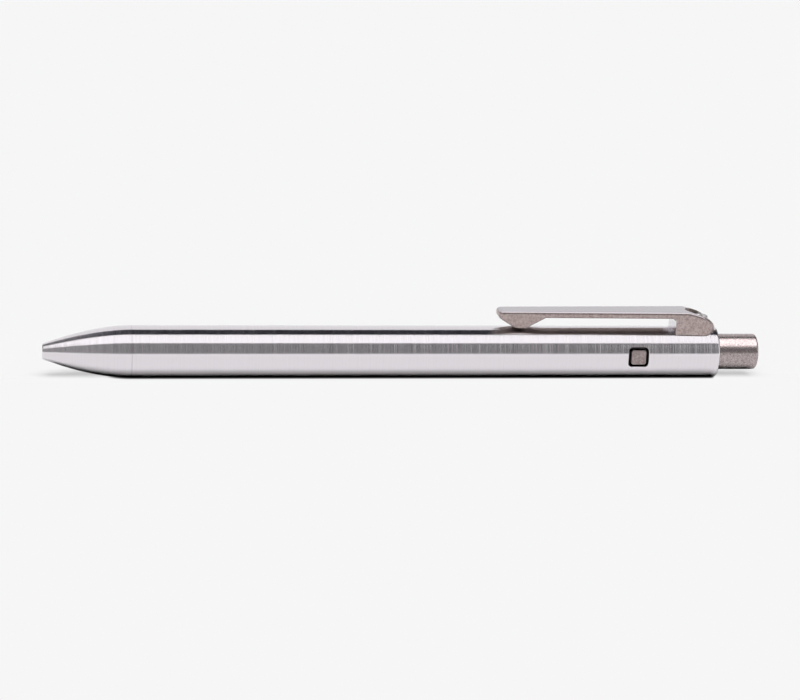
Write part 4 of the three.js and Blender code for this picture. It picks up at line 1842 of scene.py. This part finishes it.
@dataclass
class Refill(SubAssembly):
    """A standard gel refill and the spring round its point. Lengths are in millimetres.

    Attributes:
        datum: The pen's own frame.
        point_tip: The radius of the point's lip.
        point_cone, point_channel: The length of its cone, and the radius of its ink channel.
        socket, socket_depth: The radius and depth of the ball's socket.
        nose_length, nose: The length and radius of the holder's nose.
        flange_length: The length of the flange that the spring pushes.
        plug: The radius of the holder's plug in the tube.
        point_hole: The radius of the hole for the point.
        tube_bore: The radius of the tube's bore.
        vent: The radius of the hole in the end plug.
        edge_break: How far edges are broken.
        spring_wire, spring_turns: The return spring's wire, and its turns between the closed ends.
        stroke: How far the refill travels; not used.
    """

    datum: Datum
    point_tip: float = 0.39
    point_cone: float = 1.9
    point_channel: float = 0.4
    socket: float = 0.38
    socket_depth: float = 0.63
    nose_length: float = 4.9
    nose: float = 1.7
    flange_length: float = 0.8
    plug: float = 2.47
    point_hole: float = 1.18
    tube_bore: float = 2.5
    vent: float = 0.4
    edge_break: float = 0.08
    spring_wire: float = 0.4
    spring_turns: float = 5.0
    stroke: float = 5.5

    def build(self) -> None:
        """Builds the refill from its ball to its end plug, and the return spring."""
        self.hand_over(self.ball(), "refill_ball", GROUND, sharp=60.0)
        self.hand_over(self.point(), "refill_point", NICKEL_SILVER)
        self.hand_over(self.holder(), "refill_tip_holder", WHITE_MOULDED)
        self.hand_over(self.rod("ink_tube", "refill_tube", self.tube_bore), "refill_tube", CLEAR_TUBE)
        self.hand_over(self.rod("ink_column", "refill_ink"), "refill_ink", GEL_INK)
        self.hand_over(self.rod("grease_column", "refill_follower"), "refill_follower", GREASE)
        self.hand_over(self.rod("tube_plug", "refill_end_plug", self.vent), "refill_end_plug", WHITE_MOULDED)
        self.hand_over(self.spring(), "return_spring", DRAWN_WIRE, sharp=60.0)

    def ball(self) -> Piece:
        """Turns the writing ball.

        Returns:
            The ball.
        """
        span = self.datum.span("refill_ball")
        radius = (span.rear - span.front) / 2
        outline = arc((span.front + span.rear) / 2, 0, radius, 180, 0, 24)
        return lathe("writing_ball", [(a, max(b, 0)) for a, b in outline], 48, False)

    def point(self) -> Piece:
        """Turns the point with its cone, the ball's socket and the ink channel.

        Returns:
            The point.
        """
        span = self.datum.span("refill_point")
        cut = self.edge_break
        return lathe(
            "writing_point",
            [
                (span.front, self.socket),
                (span.front, self.point_tip - cut / 4),
                (span.front + cut / 2, self.point_tip + cut / 8),
                (span.front + self.point_cone, span.radius - cut / 2),
                (span.front + self.point_cone + cut, span.radius),
                (span.rear - cut, span.radius),
                (span.rear, span.radius - cut),
                (span.rear, self.point_channel),
                (span.front + 1.5 * self.socket_depth, self.point_channel),
                (span.front + self.socket_depth, self.socket),
            ],
            96,
        )

    def holder(self) -> Piece:
        """Turns the holder: a nose round the point, the spring's flange and the plug in the tube.

        Returns:
            The holder.
        """
        span = self.datum.span("refill_tip_holder")
        point = self.datum.span("refill_point")
        flange = span.front + self.nose_length
        cut = self.edge_break
        return lathe(
            "point_holder",
            [
                (span.front, self.point_hole),
                (span.front, self.nose - 2 * cut),
                (span.front + 2 * cut, self.nose),
                (flange, self.nose),
                (flange, span.radius - cut),
                (flange + cut, span.radius),
                (flange + self.flange_length, span.radius),
                (flange + self.flange_length, self.plug),
                (span.rear - cut, self.plug),
                (span.rear, self.plug - cut),
                (span.rear, self.point_channel),
                (point.rear + cut / 2, self.point_channel),
                (point.rear + cut / 2, self.point_hole),
            ],
            128,
        )

    def rod(self, name: str, node: str, bore: float = 0.0) -> Piece:
        """Turns a straight rod or tube in a node's space.

        Args:
            name: The name of the new piece.
            node: The node.
            bore: The tube's inner radius, or nothing for a rod.

        Returns:
            The rod.
        """
        span = self.datum.span(node)
        cut = self.edge_break
        outline = [
            (span.front, bore),
            (span.front, span.radius - cut),
            (span.front + cut, span.radius),
            (span.rear - cut, span.radius),
            (span.rear, span.radius - cut),
            (span.rear, bore),
        ]
        return lathe(name, outline, 128, bore > 0)

    def spring(self) -> Piece:
        """Winds the return spring.

        Returns:
            The spring.
        """
        span = self.datum.span("return_spring")
        middle = span.radius - self.spring_wire / 2
        return coil("point_spring", middle, self.spring_wire, span.front, span.rear, self.spring_turns)

    def squashed(self) -> None:
        """Gives the return spring a mesh of its own."""
        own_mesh(bpy.data.objects["point_spring"])


@dataclass
class Studio:
    """The plain pale floor, the soft lights and the camera. Lengths are in metres, elevations in degrees.

    Elevations are measured at the pen, from the level line towards the camera, over the top and down to the back.
    A radiance of 1 is white.

    Attributes:
        datum: The pen's own frame.
        floor_size: The floor's side.
        floor_colour: The sRGB colour of the floor and the backdrop.
        ceiling: The height of the lights.
        light_from, light_to: The elevations where the light on turned metal starts and ends.
        light_length, light_radiance: The length of the soft lights, and how bright this one is.
        satin_from, satin_to, satin_radiance: The same for the light on tumbled round pieces.
        satin_finishes: The finishes that mirror it.
        clip_from, clip_to, clip_radiance: The same for the light on the clip.
        clip_finishes: The finishes that mirror it.
        flag_to: The elevation where the dark flag ends and the backdrop shows.
        flag_width, flag_colour: The flag's width and sRGB colour.
        flag_pale: Its sRGB colour on the left, which the nose mirrors.
        flag_pale_from, flag_pale_to: Where along X it starts to pale, and where it is all pale.
        backdrop_distance, backdrop_width: How far behind the pen the backdrop stands, and its width.
        backdrop_radiance: How bright it is as it is mirrored.
        card_distance: How far along X the card stands.
        card_from, card_to, card_height: Where along Y it starts and ends, and its height.
        card_radiance: How bright it is as it is mirrored.
        room_radiance: How bright the room is.
        room_mottle: How much that varies along X, as a share of it.
        room_mottle_size: How long the variations are, as parts of a direction's X.
        left_radiance: How bright the room is on the left.
        left_from, left_to: The X of the directions where it starts to change to that, and where it has changed.
        low_radiance: How bright the room is just above the floor's edge.
        low_to: The elevation where that ends.
        fill, fill_from, fill_spread: The fill from above: its strength, its elevation and the angle it comes from.
        floor_cleaned: How much of the shadow behind the pen the camera doesn't see.
        cleaned_from, cleaned_to: Between these millimetres along Y that falls from all of it to this share.
        floor_contact: How far round the touch the floor stays dark, in millimetres.
        camera_distance: How far from its aim the camera stands.
        camera_azimuth, camera_elevation: How far round it stands and how high, in degrees.
        camera_lens: Its focal length, in millimetres.
        aim_station, aim_rise: The station that it aims at, and how far above the axis, in millimetres.
    """

    datum: Datum
    floor_size: float = 12.0
    floor_colour: str = "#f6f6f6"
    ceiling: float = 0.9
    light_from: float = 51.0
    light_to: float = 93.0
    light_length: float = 1.8
    light_radiance: float = 0.95
    satin_from: float = 48.0
    satin_to: float = 104.0
    satin_radiance: float = 2.6
    satin_finishes: tuple[Finish, ...] = (TUMBLED_ROUND, SCREW)
    clip_from: float = 60.0
    clip_to: float = 124.0
    clip_radiance: float = 1.4
    clip_finishes: tuple[Finish, ...] = (TUMBLED,)
    flag_to: float = 125.0
    flag_width: float = 6.0
    flag_colour: str = "#3e3e43"
    flag_pale: str = "#a9a8ab"
    flag_pale_from: float = -0.12
    flag_pale_to: float = -0.75
    backdrop_distance: float = 1.3
    backdrop_width: float = 1.6
    backdrop_radiance: float = 0.92
    card_distance: float = 1.5
    card_from: float = -1.8
    card_to: float = -0.25
    card_height: float = 1.5
    card_radiance: float = 0.85
    room_radiance: float = 0.262
    room_mottle: float = 1.0
    room_mottle_size: float = 0.1
    left_radiance: float = 0.4
    left_from: float = -0.25
    left_to: float = -0.7
    low_radiance: float = 0.92
    low_to: float = 3.8
    fill: float = 3.26
    fill_from: float = 75.0
    fill_spread: float = 50.0
    floor_cleaned: float = 0.6
    cleaned_from: float = -1.2
    cleaned_to: float = 2.0
    floor_contact: float = 0.35
    camera_distance: float = 0.52
    camera_azimuth: float = 8.0
    camera_elevation: float = 14.0
    camera_lens: float = 115.2
    aim_station: float = 72.0
    aim_rise: float = 0.28

    def build(self) -> None:
        """Sets up the studio."""
        self.floor()
        self.backdrop()
        self.card()
        self.flag()
        self.lights()
        self.camera()

    def sheet(self, name: str, corners: list[tuple[float, float, float]], material: bpy.types.Material) -> Piece:
        """Makes a flat stage sheet.

        Args:
            name: Its name.
            corners: Its corners.
            material: Its material.

        Returns:
            The sheet.
        """
        piece = draw(name, corners)
        with editing(piece, Part.VERTS):
            bpy.ops.mesh.select_all(action="SELECT")
            bpy.ops.mesh.edge_face_add()
        piece.data.materials.append(material)
        return piece

    def paint(self, name: str, colour: str) -> tuple[bpy.types.Material, bpy.types.Node]:
        """Makes matt paint.

        Args:
            name: The material's name.
            colour: Its sRGB colour.

        Returns:
            The material and its shader.
        """
        material = bpy.data.materials.new(name)
        material.use_nodes = True
        tree = material.node_tree
        tree.nodes.clear()
        shader = add_node(tree, "ShaderNodeBsdfDiffuse", {"Color": linear(colour)})
        add_node(tree, "ShaderNodeOutputMaterial", {"Surface": shader.outputs[0]})
        return material, shader

    def floor(self) -> None:
        """Lays the floor under the pen.

        As the camera sees it, its shadow is weak behind the line where the pen touches it, and cleaned away before
        that line, but for the dark of the touch itself. The metal mirrors the floor with all of its shadow.
        """
        half = self.floor_size / 2
        corners = [(-half, -half, 0), (half, -half, 0), (half, half, 0), (-half, half, 0)]
        material, shader = self.paint("matt white board", self.floor_colour)
        tree = material.node_tree
        path = add_node(tree, "ShaderNodeLightPath")
        place = add_node(tree, "ShaderNodeTexCoord")
        across = add_node(tree, "ShaderNodeSeparateXYZ", {"Vector": place.outputs["Object"]})
        cleaned = add_node(
            tree,
            "ShaderNodeMapRange",
            {
                "Value": across.outputs["Y"],
                "From Min": self.cleaned_from * MM,
                "From Max": self.cleaned_to * MM,
                "To Min": 1.0,
                "To Max": self.floor_cleaned,
            },
        )
        touch = add_node(tree, "ShaderNodeAmbientOcclusion", {"Distance": self.floor_contact * MM}, samples=8)
        seen = add_node(
            tree,
            "ShaderNodeMath",
            {0: touch.outputs["AO"], 1: path.outputs["Is Camera Ray"]},
            operation="MULTIPLY",
        )
        share = add_node(tree, "ShaderNodeMath", {0: cleaned.outputs[0], 1: seen.outputs[0]}, operation="MULTIPLY")
        glow = add_node(tree, "ShaderNodeEmission", {"Color": linear(self.floor_colour)})
        mixed = add_node(tree, "ShaderNodeMixShader", {0: share.outputs[0], 1: shader.outputs[0], 2: glow.outputs[0]})
        output = next(node for node in tree.nodes if node.type == "OUTPUT_MATERIAL")
        tree.links.new(mixed.outputs[0], output.inputs["Surface"])
        self.sheet("floor", corners, material)

    def over_head(self, elevation: float) -> float:
        """Finds where a line from the pen meets the ceiling.

        Args:
            elevation: The line's elevation.

        Returns:
            The place along Y.
        """
        return -self.ceiling / math.tan(math.radians(elevation))

    def backdrop(self) -> None:
        """Stands the pale backdrop behind the pen, which glows as white as it is seen."""
        x, y = self.backdrop_width / 2, self.backdrop_distance
        top = y * math.tan(math.radians(180 - self.flag_to))
        material = self.glowing("matt white backdrop", self.backdrop_radiance)
        backdrop = self.sheet("backdrop", [(-x, y, 0), (x, y, 0), (x, y, top), (-x, y, top)], material)
        backdrop.visible_diffuse = False

    def card(self) -> None:
        """Stands a pale card off the pen's rear end, which the round rims mirror."""
        x, top = self.card_distance, self.card_height
        near_end, far_end = self.card_from, self.card_to
        material = self.glowing("matt white card", self.card_radiance)
        corners = [(x, near_end, 0), (x, near_end, top), (x, far_end, top), (x, far_end, 0)]
        card = self.sheet("card", corners, material)
        card.visible_diffuse = False

    def glowing(self, name: str, radiance: float) -> bpy.types.Material:
        """Makes matt white paint that glows as white as it is seen by the camera or mirrored.

        Args:
            name: The material's name.
            radiance: How white, where 1 is white.

        Returns:
            The material.
        """
        material, shader = self.paint(name, self.floor_colour)
        tree = material.node_tree
        path = add_node(tree, "ShaderNodeLightPath")
        seen = add_node(
            tree,
            "ShaderNodeMath",
            {0: path.outputs["Is Camera Ray"], 1: path.outputs["Is Glossy Ray"]},
            operation="MAXIMUM",
        )
        seen = add_node(
            tree,
            "ShaderNodeMath",
            {0: seen.outputs[0], 1: path.outputs["Is Transmission Ray"]},
            operation="MAXIMUM",
        )
        glow = add_node(tree, "ShaderNodeEmission", {"Strength": radiance})
        mixed = add_node(tree, "ShaderNodeMixShader", {0: seen.outputs[0], 1: shader.outputs[0], 2: glow.outputs[0]})
        output = next(node for node in tree.nodes if node.type == "OUTPUT_MATERIAL")
        tree.links.new(mixed.outputs[0], output.inputs["Surface"])
        return material

    def flag(self) -> None:
        """Hangs the dark flag between the light and the backdrop."""
        x, y = self.flag_width / 2, self.backdrop_distance
        top = y * math.tan(math.radians(180 - self.flag_to))
        front = self.over_head(self.light_to)
        material, shader = self.paint("matt black flag", self.flag_colour)
        tree = material.node_tree
        place = add_node(tree, "ShaderNodeTexCoord")
        along = add_node(tree, "ShaderNodeSeparateXYZ", {"Vector": place.outputs["Object"]})
        left = add_node(
            tree,
            "ShaderNodeMapRange",
            {"Value": along.outputs["X"], "From Min": self.flag_pale_from, "From Max": self.flag_pale_to},
        )
        tone = add_node(
            tree,
            "ShaderNodeMix",
            {"Factor": left.outputs[0], "A": linear(self.flag_colour), "B": linear(self.flag_pale)},
            data_type="RGBA",
        )
        tree.links.new(tone.outputs["Result"], shader.inputs["Color"])
        corners = [(-x, front, self.ceiling), (x, front, self.ceiling), (x, y, top), (-x, y, top)]
        flag = self.sheet("flag", corners, material)
        flag.visible_shadow = False
        flag.visible_diffuse = False

    def lights(self) -> None:
        """Hangs the soft lights, fills from above with light that metal doesn't mirror, and greys the room."""
        dressed = [piece for piece in bpy.data.objects if piece.type == "MESH" and piece.data.materials]
        satin = self.wearing(dressed, self.satin_finishes)
        clip = self.wearing(dressed, self.clip_finishes)
        bright = [piece for piece in dressed if piece not in satin and piece not in clip]
        self.soft_light("soft_light", (self.light_from, self.light_to), self.light_radiance, bright)
        self.soft_light("satin_light", (self.satin_from, self.satin_to), self.satin_radiance, satin)
        self.soft_light("clip_light", (self.clip_from, self.clip_to), self.clip_radiance, clip)
        bpy.ops.object.light_add(type="SUN", location=(0, 0, self.ceiling))
        sun = bpy.context.object
        sun.name = "overhead_fill"
        sun.rotation_euler = (math.radians(90 - self.fill_from), 0, 0)
        sun.data.energy = self.fill
        sun.data.angle = math.radians(self.fill_spread)
        sun.visible_glossy = False
        self.room()

    def wearing(self, pieces: list[Piece], finishes: tuple[Finish, ...]) -> list[Piece]:
        """Picks the pieces that are dressed in some finishes.

        Args:
            pieces: The pieces to pick from.
            finishes: The finishes.

        Returns:
            The pieces whose first finish is one of them.
        """
        names = {finish.name for finish in finishes}
        return [piece for piece in pieces if piece.data.materials[0].name in names]

    def soft_light(self, name: str, elevations: tuple[float, float], radiance: float, pieces: list[Piece]) -> None:
        """Hangs a soft light that only some pieces mirror, for dull metal needs more of it than bright metal.

        Args:
            name: Its name.
            elevations: Where it starts and ends.
            radiance: How bright it is, where 1 is white.
            pieces: The pieces that mirror it.
        """
        front, rear = (self.over_head(elevation) for elevation in elevations)
        pick_none()
        bpy.ops.object.light_add(type="AREA", location=(0, (front + rear) / 2, self.ceiling))
        lamp = bpy.context.object
        lamp.name = name
        lamp.data.shape = "RECTANGLE"
        lamp.data.size = self.light_length
        lamp.data.size_y = rear - front
        lamp.data.energy = radiance * math.pi * lamp.data.size * lamp.data.size_y
        lamp.visible_diffuse = False
        receivers = bpy.data.collections.new(name)
        for piece in pieces:
            receivers.objects.link(piece)
        lamp.light_linking.receiver_collection = receivers

    def room(self) -> None:
        """Greys the room round the floor: pale where the floor runs out, grey and uneven above it.

        The room only shows in metal. Matt surfaces get no light from it.
        """
        world = bpy.data.worlds.new("grey room")
        bpy.context.scene.world = world
        world.cycles_visibility.diffuse = False
        bpy.context.scene.cycles.caustics_reflective = False
        world.use_nodes = True
        tree = world.node_tree
        tree.nodes.clear()
        way = add_node(tree, "ShaderNodeTexCoord")
        toward = add_node(tree, "ShaderNodeSeparateXYZ", {"Vector": way.outputs["Generated"]})
        left = add_node(
            tree,
            "ShaderNodeMapRange",
            {
                "Value": toward.outputs["X"],
                "From Min": self.left_from,
                "From Max": self.left_to,
                "To Min": self.room_radiance,
                "To Max": self.left_radiance,
            },
        )
        mottle = add_node(
            tree,
            "ShaderNodeTexNoise",
            {"W": toward.outputs["X"], "Scale": 1 / self.room_mottle_size, "Detail": 0.0},
            noise_dimensions="1D",
        )
        share = add_node(
            tree,
            "ShaderNodeMapRange",
            {
                "Value": mottle.outputs[0],
                "From Min": 0.25,
                "From Max": 0.75,
                "To Min": 1 - self.room_mottle,
                "To Max": 1 + self.room_mottle,
            },
        )
        walls = add_node(tree, "ShaderNodeMath", {0: left.outputs[0], 1: share.outputs[0]}, operation="MULTIPLY")
        edge = math.sin(math.radians(self.low_to))
        strength = add_node(
            tree,
            "ShaderNodeMapRange",
            {
                "Value": toward.outputs["Z"],
                "From Min": 0.8 * edge,
                "From Max": 1.2 * edge,
                "To Min": self.low_radiance,
                "To Max": walls.outputs[0],
            },
        )
        room = add_node(tree, "ShaderNodeBackground", {"Color": (1, 1, 1, 1), "Strength": strength.outputs[0]})
        add_node(tree, "ShaderNodeOutputWorld", {"Surface": room.outputs[0]})

    def camera(self) -> None:
        """Sets up the camera, rolled so that the pen's axis lies level in the picture."""
        azimuth, elevation = math.radians(self.camera_azimuth), math.radians(self.camera_elevation)
        back = Vector(
            (
                -math.sin(azimuth) * math.cos(elevation),
                -math.cos(azimuth) * math.cos(elevation),
                math.sin(elevation),
            )
        )
        right = (Vector((1, 0, 0)) - back.x * back).normalized()
        up = back.cross(right)
        aim = Vector((self.datum.nose_x + self.aim_station * MM, 0, self.datum.axis_z)) + up * self.aim_rise * MM
        pick_none()
        bpy.ops.object.camera_add()
        camera = bpy.context.object
        camera.name = "camera"
        turn = Matrix((right, up, back)).transposed().to_4x4()
        camera.matrix_world = Matrix.Translation(aim + back * self.camera_distance) @ turn
        camera.data.lens = self.camera_lens
        camera.data.clip_start = 0.01
        bpy.context.scene.camera = camera


def main() -> None:
    """Builds the pen round its frame, then the studio."""
    logging.basicConfig(level=logging.INFO, format="%(message)s")
    datum = Datum.from_frame()
    bpy.context.scene.view_settings.view_transform = "Standard"
    latch, refill = SideLatch(datum), Refill(datum)
    for assembly in (Casing(datum), PocketClip(datum), Plunger(datum), latch, refill):
        assembly.build()
    latch.squashed()
    refill.squashed()
    Studio(datum).build()


if __name__ == "__main__":
    main()
